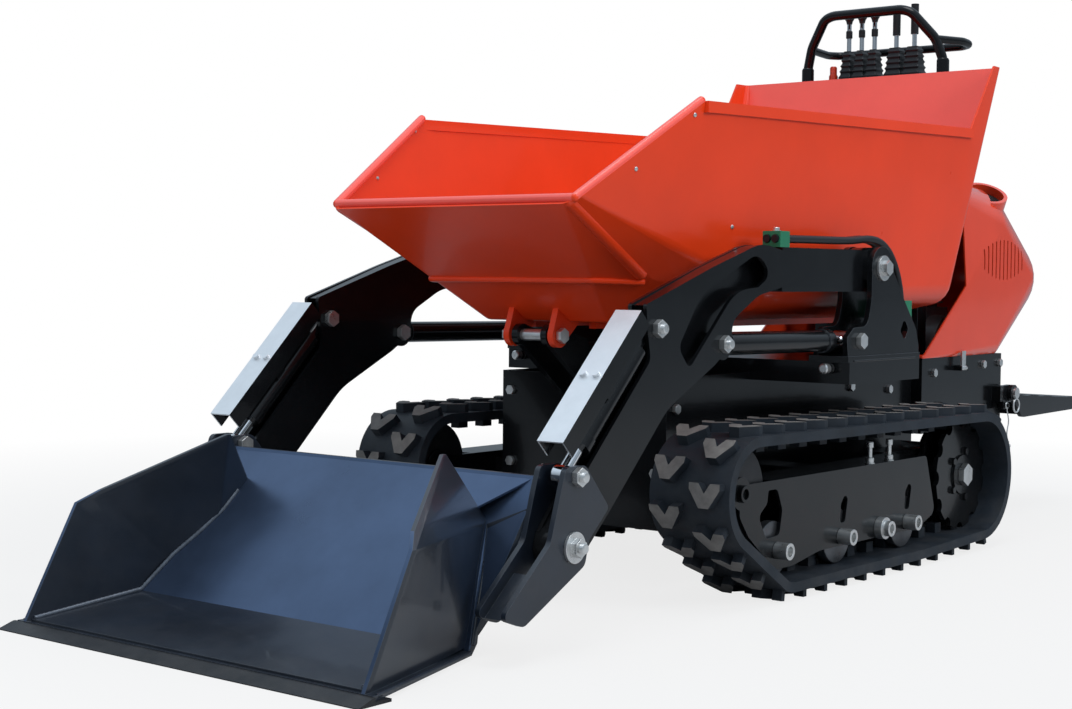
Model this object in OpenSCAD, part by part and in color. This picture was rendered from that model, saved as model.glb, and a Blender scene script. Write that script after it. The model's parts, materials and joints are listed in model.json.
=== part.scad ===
// Tracked power carrier: rubber tracks, front bucket on gooseneck arms, tipping skip, rear engine.
// Millimetres. Front (bucket) is -Y, left side is +X, up is +Z, ground is z = 0.

/* [Track] */
// Width over both tracks
track_span = 960; // [930:5:1000]
// Width of one rubber belt
belt_w = 180; // [160:5:200]
// Thickness of the belt without lugs
belt_t = 20; // [16:1:24]
// Height of a tread lug
lug_h = 18; // [12:1:22]
// Height of an inner guide horn
horn_h = 22; // [14:1:24]
// Lugs in each of the two columns
lug_count = 34; // [30:1:36]
// Front idler radius
idler_r = 93; // [88:1:98]
// Drive sprocket radius
sprocket_r = 128; // [120:1:134]
// Road roller radius
roller_r = 58; // [54:1:62]
// Outer half width of idler and rollers
wheel_hw = 37; // [33:1:39]
// Half width of the groove that the guide horns run in
groove_hw = 17; // [14:1:20]
// Radius of the idler and roller axles
axle_r = 14; // [12:0.5:16]

/* [Chassis] */
// Half width of the main tub
tub_hw = 215; // [200:5:225]
// Underside of the tub
tub_z0 = 118; // [106:2:124]
// Top edge of the tub
tub_z1 = 430; // [420:2:440]
// Half width of the rear engine box
rear_hw = 245; // [238:1:248]
// Length of the rear engine box
rear_len = 465; // [455:5:470]
// Thickness of the tub and box plates
plate_t = 8; // [6:1:10]

/* [Loader arms] */
// Middle plane of an arm
arm_x = 413; // [411:0.5:415]
// Width of an arm
arm_w = 41; // [39:0.5:43]
// Thickness of the arm side plates
arm_plate = 8; // [6:0.5:9]
// Radius of the arm pivot pins
arm_pin_r = 18; // [15:0.5:22]
// Radius of the bucket pivot pins
bucket_pin_r = 16; // [13:0.5:20]
// Radius of the cylinder, skip and latch pins
pin_r = 12; // [10:0.5:14]

/* [Cylinders] */
// Lift cylinder barrel radius
lift_r = 22.5; // [20:0.5:24]
// Tilt cylinder barrel radius
tilt_r = 20; // [18:0.5:21]
// Dump cylinder barrel radius
dump_r = 26; // [23:0.5:28]
// Wall thickness of the cylinder barrels
barrel_wall = 5; // [4:0.5:6]

/* [Bucket] */
// Half width at the cutting edge
bucket_hw = 440; // [425:5:455]
// Length of the floor from the heel to the cutting edge
bucket_reach = 367; // [350:1:390]
// Sheet thickness of the bucket
bucket_t = 8; // [6:1:10]

/* [Skip] */
// Sheet thickness of the skip
skip_t = 5; // [4:0.5:7]
// Radius of the rolled rim
rim_r = 9; // [8:0.5:10]

/* [Engine end] */
// Half width of the engine hood
hood_hw = 255; // [251:1:258]
// Sheet thickness of the hood
hood_t = 4; // [3:0.5:6]
// Slots in each side of the hood
louvre_n = 11; // [5:2:13]
// Radius of the lever stems
stem_r = 6; // [4:0.5:7]
// Ribs on each lever boot
boot_ribs = 5; // [4:1:7]
// Radius of the guard tube
guard_r = 12.5; // [10:0.5:14]
// Length of the footboard arms
step_len = 433; // [400:1:460]

/* [Fits] */
// Radial clearance of a running fit
fit = 0.05; // [0.02:0.01:0.1]
// Gap between parts that pass each other
gap = 1; // [0.5:0.1:1.5]

/* [View] */
// Sub-part to draw

/* [Hidden] */
$fn = 48;
red = [0.83, 0.20, 0.10];
black = [0.07, 0.07, 0.08];
slate = [0.16, 0.18, 0.22];
zinc = [0.75, 0.76, 0.78];
chrome = [0.85, 0.86, 0.88];
rubber = [0.10, 0.11, 0.12];
green = [0.10, 0.45, 0.30];
iron = [0.25, 0.26, 0.27];

// Pivots as (y, z), seen from the left side
idler_at = [-494, 220];
sprocket_at = [500, 175];
arm_pivot = [26, 657];
lift_low = [-70, 504];
lift_high = [-562, 509];
tilt_high = [-780, 542];
tilt_low = [-1027, 298];
bucket_pivot = [-1036, 180];
skip_hinge = [-588, 515];
dump_high = [-170, 520];
roller_ys = [-362, -105, 190];

track_x = (track_span - belt_w) / 2;
wheel_gap = gap / 2;
// How far the ground presses the lugs flat
lug_press = 0.4;
roller_z = wheel_gap + belt_t + lug_h - lug_press + roller_r;

// Belt loop: wheel centres and radii in running order, top run first
loop = [
  [sprocket_at[0], sprocket_at[1], sprocket_r],
  [idler_at[0], idler_at[1], idler_r],
  [roller_ys[0], roller_z, roller_r],
  [roller_ys[2], roller_z, roller_r]
];
function nxt(i) = (i + 1) % len(loop);
function prv(i) = (i + len(loop) - 1) % len(loop);
function slope(i) =
  let (a = loop[i], b = loop[nxt(i)], d = [b[0] - a[0], b[1] - a[1]])
  atan2(d[1], d[0]) + asin((a[2] - b[2]) / norm(d));
function touch(i, f, off) =
  [loop[i][0] + (loop[i][2] + off) * sin(f), loop[i][1] - (loop[i][2] + off) * cos(f)];
function run_len(i) = norm(touch(nxt(i), slope(i), 0) - touch(i, slope(i), 0));
function sweep(i) = (slope(i) - slope(prv(i)) + 720) % 360;
function arc_len(i, off) = sweep(i) * PI / 180 * (loop[i][2] + off);
function sum(v, i = 0) = i < len(v) ? v[i] + sum(v, i + 1) : 0;
function loop_len(off) = sum([for (i = [0:len(loop) - 1]) run_len(i) + arc_len(i, off)]);
// Place on the loop at a distance s: [y, z, direction]
function place(s, off, i = 0) =
  let (a = arc_len(i, off), l = run_len(i))
  s < a ? let (f = slope(prv(i)) + s / (loop[i][2] + off) * 180 / PI) concat(touch(i, f, off), [f])
  : s < a + l ? let (p = touch(i, slope(i), off), f = slope(i), t = s - a)
      [p[0] + t * cos(f), p[1] + t * sin(f), f]
  : place(s - a - l, off, nxt(i));

function unit(v) = v / norm(v);
function spin(e, a) = [e[0] * cos(a) - e[1] * sin(a), e[0] * sin(a) + e[1] * cos(a)];
function along(a, b, t, n = 0) = let (d = unit(b - a)) a + t * d + n * [d[1], -d[0]];
// Outline with rounded corners from points [y, z, corner radius]
arc_steps = 6;
function flat(p) = [p[0], p[1]];
function corner(a, b, c, r) =
  let (u = unit(a - b), v = unit(c - b), half = acos(u * v) / 2, o = b + unit(u + v) * r / sin(half),
    e = b + u * r / tan(half) - o, w = b + v * r / tan(half) - o, turn = (180 - 2 * half) * sign(cross(e,
      w)))
  r == 0 ? [b] : [for (k = [0:arc_steps]) o + spin(e, turn * k / arc_steps)];
function rounded(p) = let (n = len(p))
  [for (i = [0:n - 1]) each corner(flat(p[(i + n - 1) % n]), flat(p[i]), flat(p[(i + 1) % n]), p[i][2])];

module prism(x0, x1, pts)
  translate([x0, 0, 0]) rotate([90, 0, 90]) linear_extrude(x1 - x0) polygon(pts);
module rod(p, r, x0, x1)
  translate([x0, p[0], p[1]]) rotate([0, 90, 0]) cylinder(r = r, h = x1 - x0);
module rod_y(p, r, l) translate(p) rotate([-90, 0, 0]) cylinder(r = r, h = l);
module hex(p, r, x0, x1)
  translate([x0, p[0], p[1]]) rotate([0, 90, 0]) cylinder(r = r, h = x1 - x0, $fn = 6);
module slab(lo, hi) translate(lo) cube(hi - lo);
module both() {
  children();
  mirror([1, 0, 0]) children();
}
module far_side() mirror([1, 0, 0]) children();
module bar(a, b, r) {
  d = b - a;
  translate(a) rotate([0, acos(d[2] / norm(d)), atan2(d[1], d[0])]) cylinder(r = r, h = norm(d));
}
// Bent tube: straight runs with a slightly full elbow at each bend
elbow = 0.3;
module tube(pts, r) {
  for (i = [0:len(pts) - 2]) bar(pts[i], pts[i + 1], r);
  for (i = [1:len(pts) - 2]) translate(pts[i]) sphere(r + elbow);
}
module sheet(pts, t) hull() for (p = pts) translate(p) cube(t, center = true);
// Round stage on the line between two (y, z) points, from t0 to t1 along it
module stage(a, b, t0, t1, r, x) {
  p = along(a, b, t0);
  q = along(a, b, t1);
  bar([x, p[0], p[1]], [x, q[0], q[1]], r);
}
module big_bolt(p, x0, x1, head) {
  rod(p, head, x1, x1 + washer_t);
  hex(p, head * nut_share, x1 + washer_t - gap, x1 + 3 * washer_t);
  rod(p, head, x0 - washer_t, x0);
}
washer_t = 6;
washer_r = 27;
nut_share = 0.62;
head_r = 17;
head_h = 12;

// Track
lug_shape = [[-34, -23], [-13, -23], [0, -4], [13, -23], [34, -23], [34, -11], [11, 24], [-11, 24], [-34,
  -11]];
lug_col = 45;
lug_root = 6;
horn_w = 24;
horn_l = 30;
// The straight runs lie a hair inside the arcs, so that the two cross cleanly
run_tuck = 0.05;
module loop_2d(off) {
  polygon([for (i = [0:len(loop) - 1]) each
    [touch(i, slope(prv(i)), off - run_tuck), touch(i, slope(i), off - run_tuck)]]);
  for (w = loop) translate([w[0], w[1]]) circle(w[2] + off);
}
module on_loop(s) {
  p = place(s, wheel_gap + belt_t);
  translate([track_x, p[0], p[1]]) rotate([p[2], 0, 0]) children();
}
module track_belt() difference() {
  pitch = loop_len(wheel_gap + belt_t) / lug_count;
  union() {
    translate([track_x - belt_w / 2, 0, 0]) rotate([90, 0, 90]) linear_extrude(belt_w)
      difference() {
        loop_2d(wheel_gap + belt_t);
        loop_2d(wheel_gap);
      }
    for (k = [0:lug_count - 1]) {
      for (c = [-1, 1])
        on_loop((k + (c > 0 ? 0.5 : 0)) * pitch)
          translate([c * lug_col, 0, -lug_h]) linear_extrude(lug_h + lug_root) polygon(lug_shape);
      on_loop(k * pitch) translate([-horn_w / 2, -horn_l / 2, belt_t - lug_root])
        cube([horn_w, horn_l, horn_h + lug_root]);
    }
  }
  translate([track_x - belt_w, 2 * idler_at[0], -lug_h]) cube([2 * belt_w, 4 * sprocket_at[0], lug_h]);
}
teeth = 12;
tooth_gap_r = 17;
tooth_out = 3;
disc_t = 12;
sprocket_core = 70;
hub_r = 46;
hub_out = 34;
hub_bolts = 5;
hub_ring = 57;
hub_bolt_r = 9;
module sprocket() difference() {
  union() {
    for (x = [groove_hw, -groove_hw - disc_t]) translate([track_x + x, sprocket_at[0], sprocket_at[1]])
      rotate([90, 0, 90]) linear_extrude(disc_t) difference() {
        circle(sprocket_r - wheel_gap);
        for (k = [0:teeth - 1]) rotate(k * 360 / teeth) translate([sprocket_r + tooth_out,
          0]) circle(tooth_gap_r);
      }
    rod(sprocket_at, sprocket_core, track_x - groove_hw - disc_t, track_x + groove_hw + disc_t);
    rod(sprocket_at, hub_r, track_x, track_x + hub_out);
    for (k = [0:hub_bolts - 1])
      hex(sprocket_at + hub_ring * [cos(k * 360 / hub_bolts), sin(k * 360 / hub_bolts)], hub_bolt_r,
        track_x,
        track_x + hub_out + tooth_out);
  }
  rod(sprocket_at, motor_shaft + fit, track_x - groove_hw - disc_t - gap, track_x + hub_out + gap);
}
module wheel(at, r, core) difference() {
  union() {
    for (x = [groove_hw, -wheel_hw]) rod(at, r - wheel_gap, track_x + x,
      track_x + x + wheel_hw - groove_hw);
    rod(at, core, track_x - wheel_hw, track_x + wheel_hw);
  }
  rod(at, axle_r + fit, track_x - wheel_hw - gap, track_x + wheel_hw + gap);
}
idler_core = 60;
roller_core = 32;
module idler() wheel(idler_at, idler_r, idler_core);
module road_roller(i) wheel([roller_ys[i], roller_z], roller_r, roller_core);

frame_in = wheel_hw + 3;
frame_t = 6;
frame_out = frame_in + frame_t;
frame_top = 236;
frame_outline = [[-500, frame_top, 20], [285, frame_top, 12], [332, 104, 20], [250, 76, 60], [-190, 76,
  200],
  [-300, 58, 100], [-370, 58, 40], [-468, 134, 20], [-500, 175, 20]];
idler_lug = 32;
beam_z = [150, 220];
beam_ys = [-255, 40];
beam_hl = 45;
beam_step = 20;
frame_lid = [-380, 280];
motor_plate = [212, 90];
window = [[-432, 170, 14], [-400, 192, 14], [-396, 218, 6], [-362, 218, 14], [-342, 175, 20], [-352, 126,
  12],
  [-402, 122, 16]];
slot_shape = [[-14, -28, 8], [8, -28, 8], [20, 24, 9], [4, 28, 9], [-10, 12, 10]];
slot_ys = [-95, 195];
slot_z = 152;
module frame_plate(x0) difference() {
  union() {
    prism(x0, x0 + frame_t, rounded(frame_outline));
    rod(idler_at, idler_lug, x0, x0 + frame_t);
  }
  rod(idler_at, axle_r + fit, x0 - gap, x0 + frame_t + gap);
  for (y = roller_ys) rod([y, roller_z], axle_r + fit, x0 - gap, x0 + frame_t + gap);
}
module track_frame() {
  difference() {
    frame_plate(track_x + frame_in);
    for (y = slot_ys) translate([0, y, slot_z])
      prism(track_x + frame_in - gap, track_x + frame_out + gap, rounded(slot_shape));
    prism(track_x + frame_in - gap, track_x + frame_out + gap, rounded(window));
  }
  difference() {
    union() {
      frame_plate(track_x - frame_out);
      prism(track_x - frame_out, track_x - frame_in, [[motor_plate[0], frame_top],
        [sprocket_at[0], sprocket_at[1] + motor_flange],
        [sprocket_at[0], sprocket_at[1] - motor_flange], motor_plate]);
      rod(sprocket_at, motor_flange, track_x - frame_out, track_x - frame_in);
    }
    rod(sprocket_at, motor_pilot + fit, track_x - frame_out - gap, track_x - frame_in + gap);
  }
  slab([track_x - frame_in - gap, frame_lid[0], frame_top - frame_t],
    [track_x + frame_in + gap, frame_lid[1], frame_top]);
  for (y = beam_ys) slab([track_x - frame_in - gap, y - beam_hl, beam_z[0] + beam_step],
    [track_x + frame_in + gap, y + beam_hl, frame_top - gap]);
}
sleeve_r = 17;
sleeve_bore = 10;
sleeve_end = 78;
sleeve_deep = 12;
collar_step = 14;
axle_stub = 4;
idler_cap = 10;
collar_r = 24;
plain_sleeve_y = 64;
module sleeve(p, out) difference() {
  rod(p, sleeve_r, track_x + frame_out, track_x + out);
  rod(p, sleeve_bore, track_x + out - sleeve_deep, track_x + out + gap);
}
module axle(p, out) {
  rod(p, axle_r, track_x - frame_out - axle_stub, track_x + frame_out + gap);
  sleeve(p, out);
}
module track_axles() color(zinc) both() {
  axle(idler_at, frame_out + idler_cap);
  for (y = roller_ys) axle([y, roller_z], sleeve_end);
  sleeve([plain_sleeve_y, roller_z], sleeve_end);
  difference() {
    rod([plain_sleeve_y, roller_z], collar_r, track_x + frame_out, track_x + sleeve_end - collar_step);
    rod([plain_sleeve_y, roller_z], sleeve_bore, track_x + sleeve_end - sleeve_deep, track_x + sleeve_end);
  }
}
motor_shaft = 20;
motor_pilot = 44;
motor_flange = 62;
motor_body = 70;
motor_in = 30;
nut_h = 14;
nut_r = 27;
shaft_collar = 14;
motor_foot = 60;
module drive_motors() color(black) both() {
  rod(sprocket_at, motor_body, tub_hw + motor_in, track_x - frame_out);
  rod(sprocket_at, motor_pilot, track_x - frame_out - gap, track_x - frame_in);
  rod(sprocket_at, motor_shaft + shaft_collar, track_x - frame_in - gap,
    track_x - groove_hw - disc_t - gap / 2);
  rod(sprocket_at, motor_shaft, track_x - frame_in - gap, track_x + hub_out + gap);
  hex(sprocket_at, nut_r, track_x + hub_out + gap / 2, track_x + hub_out + nut_h);
  slab([tub_hw, sprocket_at[0] - motor_foot, beam_z[0] - beam_step],
    [tub_hw + motor_in + gap, sprocket_at[0] + motor_foot, beam_z[1]]);
}

// Chassis
tub_y0 = -430;
rear_y0 = 640;
rear_y1 = rear_y0 + rear_len;
rear_z = [250, 438];
bay_floor = rear_z[0] + plate_t;
step_pivot = [rear_y1 + 7, 332];
out_hw = 458;
out_y = [-118, 196];
out_z = [415, 461];
hinge_plate = [30, 44];
hinge_ear = 22;
dump_ear = 18;
ear_t = 12;
swing = norm(dump_high - skip_hinge);
dump_angle = atan2(dump_high[1] - skip_hinge[1], dump_high[0] - skip_hinge[0]) - 60;
dump_low = skip_hinge + swing * [cos(dump_angle), sin(dump_angle)];
step_lug_x = 258;
step_ear = 22;
step_pin_r = 10;
step_pin_in = 4;
hood_hinge = [rear_y1 + 12, rear_z[1] - 8];
hood_ear = 8;
hood_pin_r = 4;
hood_lug_x = [150, 166];
latch_y = rear_y0 + 194;
latch_z = 408;
latch_x = rear_hw + 18;
latch_pin = 3;
latch_hl = 16;
lanyard_at = [rear_y1 - 25, 300];
step_root = rear_y1 - 55;
lanyard_pin_r = 5;
module trough(lo, hi) difference() {
  slab(lo, hi);
  slab(lo + plate_t * [1, 1, 1], [hi[0] - plate_t, hi[1] - plate_t, hi[2] + gap]);
}
module latch_base() {
  for (y = [latch_y - latch_hl - 5, latch_y + latch_hl + gap / 2])
    slab([rear_hw - gap, y, latch_z - 6], [latch_x + 6, y + 4.5, latch_z + 6]);
  rod_y([latch_x, latch_y - latch_hl - 5, latch_z], latch_pin, 2 * latch_hl + 9);
}
module chassis_frame() color(black) difference() {
  union() {
    trough([-tub_hw, tub_y0, tub_z0], [tub_hw, rear_y0 + plate_t, tub_z1]);
    trough([-rear_hw, rear_y0, rear_z[0]], [rear_hw, rear_y1, rear_z[1]]);
    slab([-out_hw, out_y[0], out_z[0]], [out_hw, out_y[1], out_z[1]]);
    both() {
      for (y = beam_ys) slab([tub_hw - gap, y - beam_hl, beam_z[0]], [track_x - frame_out, y + beam_hl,
        beam_z[1]]);
      prism(hinge_plate[0], hinge_plate[1], [[skip_hinge[0], skip_hinge[1] - hinge_ear], [tub_y0 + gap,
        370],
        [tub_y0 + gap, tub_z1], [-470, 505], [skip_hinge[0], skip_hinge[1] + hinge_ear]]);
      rod(skip_hinge, hinge_ear, hinge_plate[0], hinge_plate[1]);
      prism(dump_ear, dump_ear + ear_t, [[dump_low[0] - 34, tub_z0 + gap], [dump_low[0] + 34, tub_z0 + gap],
        [dump_low[0] + 24, dump_low[1]], [dump_low[0] - 24, dump_low[1]]]);
      rod(dump_low, 24, dump_ear, dump_ear + ear_t);
      slab([rear_hw - gap, step_root, step_pivot[1] - 20], [step_lug_x + gap, rear_y1 - gap,
        step_pivot[1] + 20]);
      prism(step_lug_x, step_lug_x + ear_t, [[step_root, step_pivot[1] - 20], [step_pivot[0],
        step_pivot[1] - step_ear],
        [step_pivot[0], step_pivot[1] + step_ear], [step_root, step_pivot[1] + 20]]);
      rod(step_pivot, step_ear, step_lug_x, step_lug_x + ear_t);
      prism(hood_lug_x[0], hood_lug_x[1], [[rear_y1 - gap, hood_hinge[1] - 26], [hood_hinge[0] + 6,
        hood_hinge[1] - 5],
        [hood_hinge[0], hood_hinge[1] + 7], [rear_y1 - gap, hood_hinge[1] + 6]]);
      rod(hood_hinge, hood_ear, hood_lug_x[0], hood_lug_x[1]);
      rod(hood_hinge, hood_pin_r, hood_lug_x[0] - 30, hood_lug_x[1] + gap);
      latch_base();
    }
    rod(lanyard_at, lanyard_pin_r, step_lug_x + gap, step_lug_x + ear_t + 12);
    prism(step_lug_x, step_lug_x + ear_t, [[lanyard_at[0] - 12, lanyard_at[1] - 10],
      [lanyard_at[0] + 12, lanyard_at[1] - 10], [lanyard_at[0] + 12, step_pivot[1]], [lanyard_at[0] - 12,
        step_pivot[1]]]);
  }
  both() {
    rod(skip_hinge, pin_r + fit, hinge_plate[0] - gap, hinge_plate[1] + gap);
    rod(dump_low, pin_r + fit, dump_ear - gap, dump_ear + ear_t + gap);
    rod(step_pivot, step_pin_r + fit, step_lug_x - step_pin_in - gap, step_lug_x + ear_t + gap);
  }
}
tower_x = [372, 384, 442, 454];
tower_outline = [[-19, 657, 0], [72, 657, 0], [118, 600, 40], [186, 526, 30], [200, 488, 12], [200, 472, 0],
  [-118, 472, 0], [-124, 512, 12], [-96, 532, 12], [-36, 534, 30], [-19, 590, 60]];
tower_slot = [[112, 522, 8], [132, 500, 8], [150, 526, 8], [130, 548, 8]];
tower_base_t = 12;
pivot_r = 46;
lift_ear = 28;
module tower_plate(x0, x1) difference() {
  union() {
    prism(x0, x1, rounded(tower_outline));
    rod(arm_pivot, pivot_r, x0, x1);
    rod(lift_low, lift_ear, x0, x1);
  }
  rod(arm_pivot, arm_pin_r + fit, x0 - gap, x1 + gap);
  rod(lift_low, pin_r + fit, x0 - gap, x1 + gap);
  prism(x0 - gap, x1 + gap, rounded(tower_slot));
}
module arm_towers() color(black) both() {
  tower_plate(tower_x[0], tower_x[1]);
  tower_plate(tower_x[2], tower_x[3]);
  slab([tower_x[0] - 8, out_y[0] - 5, out_z[1]], [out_hw, out_y[1] + 2, out_z[1] + tower_base_t]);
  slab([tower_x[1] - gap, 40, out_z[1] + tower_base_t - gap], [tower_x[2] + gap, 100, 500]);
}
module pivot_pins() color(zinc) {
  both() {
    rod(arm_pivot, arm_pin_r, tower_x[0] - gap, tower_x[3] + gap);
    big_bolt(arm_pivot, tower_x[0], tower_x[3], washer_r);
    rod(lift_low, pin_r, tower_x[0] - gap, tower_x[3] + gap);
    hex(lift_low, head_r, tower_x[3], tower_x[3] + head_h);
    hex(lift_low, head_r, tower_x[0] - head_h, tower_x[0]);
    hex(skip_hinge, head_r - 1, skip_lug[1] + gap, skip_lug[1] + head_h);
    hex(dump_low, head_r - 1, dump_ear + ear_t, dump_ear + ear_t + head_h);
  }
  rod(skip_hinge, pin_r, -skip_lug[1] - 2 * gap, skip_lug[1] + 2 * gap);
  rod(dump_low, pin_r, -dump_ear - ear_t - gap, dump_ear + ear_t + gap);
}
side_bolts = [[-400, 366], [-320, 300], [330, 380], [520, 366]];
rear_bolts = [[rear_y1 - 118, 412], [rear_y1 - 17, 413], [rear_y0 + 60, 400]];
front_bolts = [[-190, 388], [-190, 235], [190, 388], [190, 235]];
bolt_r = 11;
bolt_h = 9;
module chassis_bolts() color(zinc) {
  both() {
    for (p = side_bolts) hex(p, bolt_r, tub_hw, tub_hw + bolt_h);
    for (p = rear_bolts) hex(p, bolt_r, rear_hw, rear_hw + bolt_h);
  }
  for (p = front_bolts) translate([p[0], tub_y0, p[1]]) rotate([90, 0, 0])
    cylinder(r = bolt_r, h = bolt_h, $fn = 6);
}

// Loader arms: two side plates with a gooseneck outline, closed along the neck, on a rear tube
arm_in = arm_x - arm_w / 2;
arm_out = arm_x + arm_w / 2;
arm_outline = [[-814, 586, 8], [-600, 654, 300], [-430, 702, 160], [-265, 674, 10], [-262, 632, 10],
  [-440, 600, 120], [-538, 550, 40], [-530, 508, 0], [-592, 470, 0], [-745, 396, 160], [-912, 234, 60],
  [-1004, 150, 0], [-1070, 206, 0], [-985, 303, 20], [-799, 486, 20], [-810, 542, 0]];
web_top = [[-812, 584, 0], [-600, 653, 300], [-430, 701, 160], [-300, 680, 0], [-300, 662, 0], [-430,
  685, 140],
  [-600, 638, 300], [-800, 574, 0]];
web_low = [[-700, 418, 0], [-745, 396, 120], [-912, 234, 60], [-1004, 150, 0], [-1066, 204, 0], [-985,
  303, 0],
  [-930, 300, 60], [-820, 372, 80]];
kidney = [[-712, 506, 20], [-640, 602, 120], [-440, 684, 50], [-394, 640, 18], [-440, 616, 20], [-520,
  610, 120],
  [-676, 466, 14]];
tail_z = [607, 695];
tail_y = -347;
boss_x = [386, 440];
boss_r = 44;
arm_end_r = 42;
arm_ear = 30;
module arm_side(x0, x1) {
  prism(x0, x1, rounded(arm_outline));
  for (p = [lift_high, tilt_high]) rod(p, arm_ear, x0, x1);
}
module loader_arm() difference() {
  union() {
    arm_side(arm_in, arm_in + arm_plate);
    arm_side(arm_out - arm_plate, arm_out);
    for (w = [web_top, web_low]) prism(arm_in + gap, arm_out - gap, rounded(w));
    rod(bucket_pivot, arm_end_r, arm_in, arm_out);
    slab([arm_in, tail_y, tail_z[0]], [arm_out - 3, arm_pivot[0], tail_z[1]]);
    rod(arm_pivot, boss_r, boss_x[0], boss_x[1]);
  }
  prism(arm_out - arm_plate - gap, arm_out + gap, rounded(kidney));
  rod(arm_pivot, arm_pin_r + fit, boss_x[0] - gap, boss_x[1] + gap);
  rod(bucket_pivot, bucket_pin_r + fit, arm_in - gap, arm_out + gap);
  rod(tilt_high, pin_r + fit, arm_in - gap, arm_out + gap);
}
module arm_pins() color(zinc) both() {
  rod(tilt_high, pin_r, arm_in - gap, arm_out + gap);
  for (p = [tilt_high, lift_high]) {
    hex(p, head_r, arm_out, arm_out + head_h);
    hex(p, head_r, arm_in - head_h, arm_in);
  }
}
hose_xs = [arm_x - 9.5, arm_x + 9.5];
hose_r = 8;
hose_z = tail_z[1] + 17;
clamp_y = [-361, -325];
clamp_h = 32;
tower_clamp_y = [156, 188];
tower_clamp_z = [547, 587];
hose_drop_y = 172;
module arm_hose_clamps() color(green) both() difference() {
  slab([arm_in, clamp_y[0], tail_z[1]], [arm_out, clamp_y[1], tail_z[1] + clamp_h]);
  for (x = hose_xs) rod_y([x, clamp_y[0] - gap, hose_z], hose_r + fit, clamp_y[1] - clamp_y[0] + 2 * gap);
}
module tower_hose_clamps() color(green) both() difference() {
  slab([tower_x[1], tower_clamp_y[0], tower_clamp_z[0]], [tower_x[2], tower_clamp_y[1], tower_clamp_z[1]]);
  for (x = hose_xs) translate([x, hose_drop_y, tower_clamp_z[0] - gap])
    cylinder(r = hose_r + fit, h = tower_clamp_z[1] - tower_clamp_z[0] + 2 * gap);
}
hose_path = [[-366, hose_z], [-60, hose_z], [20, 722], [75, 714], [120, 686], [150, 646], [hose_drop_y,
  602],
  [hose_drop_y, 506], [190, 488], [214, 470], [214, 448], [out_y[1], 438]];
module arm_hoses() color(rubber) both() for (x = hose_xs) difference() {
  tube([for (p = hose_path) [x, p[0], p[1]]], hose_r);
  slab([x - 2 * hose_r, out_y[1] - 3 * hose_r, out_z[0]], [x + 2 * hose_r, out_y[1], out_z[1]]);
}

// Hydraulic cylinders
eye_w = 20;
rod_ratio = 0.56;
gland = 24;
lift_len = norm(lift_high - lift_low);
tilt_len = norm(tilt_low - tilt_high);
dump_len = norm(dump_high - dump_low);
lift_gland = 66;
module lift_rod() difference() {
  union() {
    rod(lift_low, 22, arm_x - 15, arm_x + 15);
    stage(lift_low, lift_high, pin_r + 4, lift_len - 62, lift_r * rod_ratio, arm_x);
    stage(lift_low, lift_high, lift_len - 87, lift_len - 62, lift_r - barrel_wall - fit, arm_x);
  }
  rod(lift_low, pin_r + fit, arm_x - 16, arm_x + 16);
}
module lift_barrel() difference() {
  union() {
    stage(lift_low, lift_high, lift_gland, lift_len - 36, lift_r, arm_x);
    stage(lift_low, lift_high, lift_gland, lift_gland + gland, lift_r + 2.5, arm_x);
    rod(lift_high, 20, arm_x - eye_w / 2, arm_x + eye_w / 2);
    stage(lift_low, lift_high, lift_len - 40, lift_len - 15, eye_w / 2 - 0.5, arm_x);
  }
  stage(lift_low, lift_high, lift_gland - gap, lift_gland + gland + gap, lift_r * rod_ratio + fit, arm_x);
  stage(lift_low, lift_high, lift_gland + gland, lift_len - 50, lift_r - barrel_wall, arm_x);
}
tilt_start = 54;
tilt_end = 286;
cover_off = 66;
cover_t = 3;
cover_run = [19, 329];
cover_hw = 28;
cover_deep = 38;
mount_t = [162, 188];
mount_hw = 22;
mount_bolt_x = 14;
mount_bolt_r = 7;
module tilt_barrel() difference() {
  union() {
    rod(tilt_high, 22, arm_x - eye_w / 2, arm_x + eye_w / 2);
    stage(tilt_high, tilt_low, 14, tilt_start + gland / 4, eye_w / 2 - 0.5, arm_x);
    stage(tilt_high, tilt_low, tilt_start, tilt_end, tilt_r, arm_x);
    stage(tilt_high, tilt_low, tilt_end - gland, tilt_end, tilt_r + 2, arm_x);
    cover_plate(arm_x - mount_hw, arm_x + mount_hw, mount_t, tilt_r - 4, cover_off - cover_t);
  }
  rod(tilt_high, pin_r + fit, arm_x - eye_w, arm_x + eye_w);
  stage(tilt_high, tilt_low, tilt_start + gland / 2, tilt_end - gland, tilt_r - barrel_wall, arm_x);
  stage(tilt_high, tilt_low, tilt_end - gland - gap, tilt_end + gap, tilt_r * rod_ratio + fit, arm_x);
}
module cover_plate(x0, x1, t, n0, n1) prism(x0, x1, [for (q = [[t[0], n0], [t[1], n0], [t[1], n1], [t[0],
  n1]])
  along(tilt_high, tilt_low, q[0], q[1])]);
module tilt_cover() {
  cover_plate(arm_x - cover_hw, arm_x + cover_hw, cover_run, cover_off - cover_t, cover_off);
  for (x = [arm_x - cover_hw, arm_x + cover_hw - cover_t])
    cover_plate(x, x + cover_t, cover_run, cover_off - cover_deep, cover_off);
  for (x = [arm_x - mount_bolt_x, arm_x + mount_bolt_x]) {
    p = along(tilt_high, tilt_low, (mount_t[0] + mount_t[1]) / 2, cover_off - gap);
    q = along(tilt_high, tilt_low, (mount_t[0] + mount_t[1]) / 2, cover_off + washer_t);
    bar([x, p[0], p[1]], [x, q[0], q[1]], mount_bolt_r);
  }
}
module tilt_rod() {
  stage(tilt_high, tilt_low, 84, tilt_len - 10, tilt_r * rod_ratio, arm_x);
  stage(tilt_high, tilt_low, 84, 104, tilt_r - barrel_wall - fit, arm_x);
  rod(tilt_low, 18, arm_x - eye_w / 2, arm_x + eye_w / 2);
}
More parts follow.
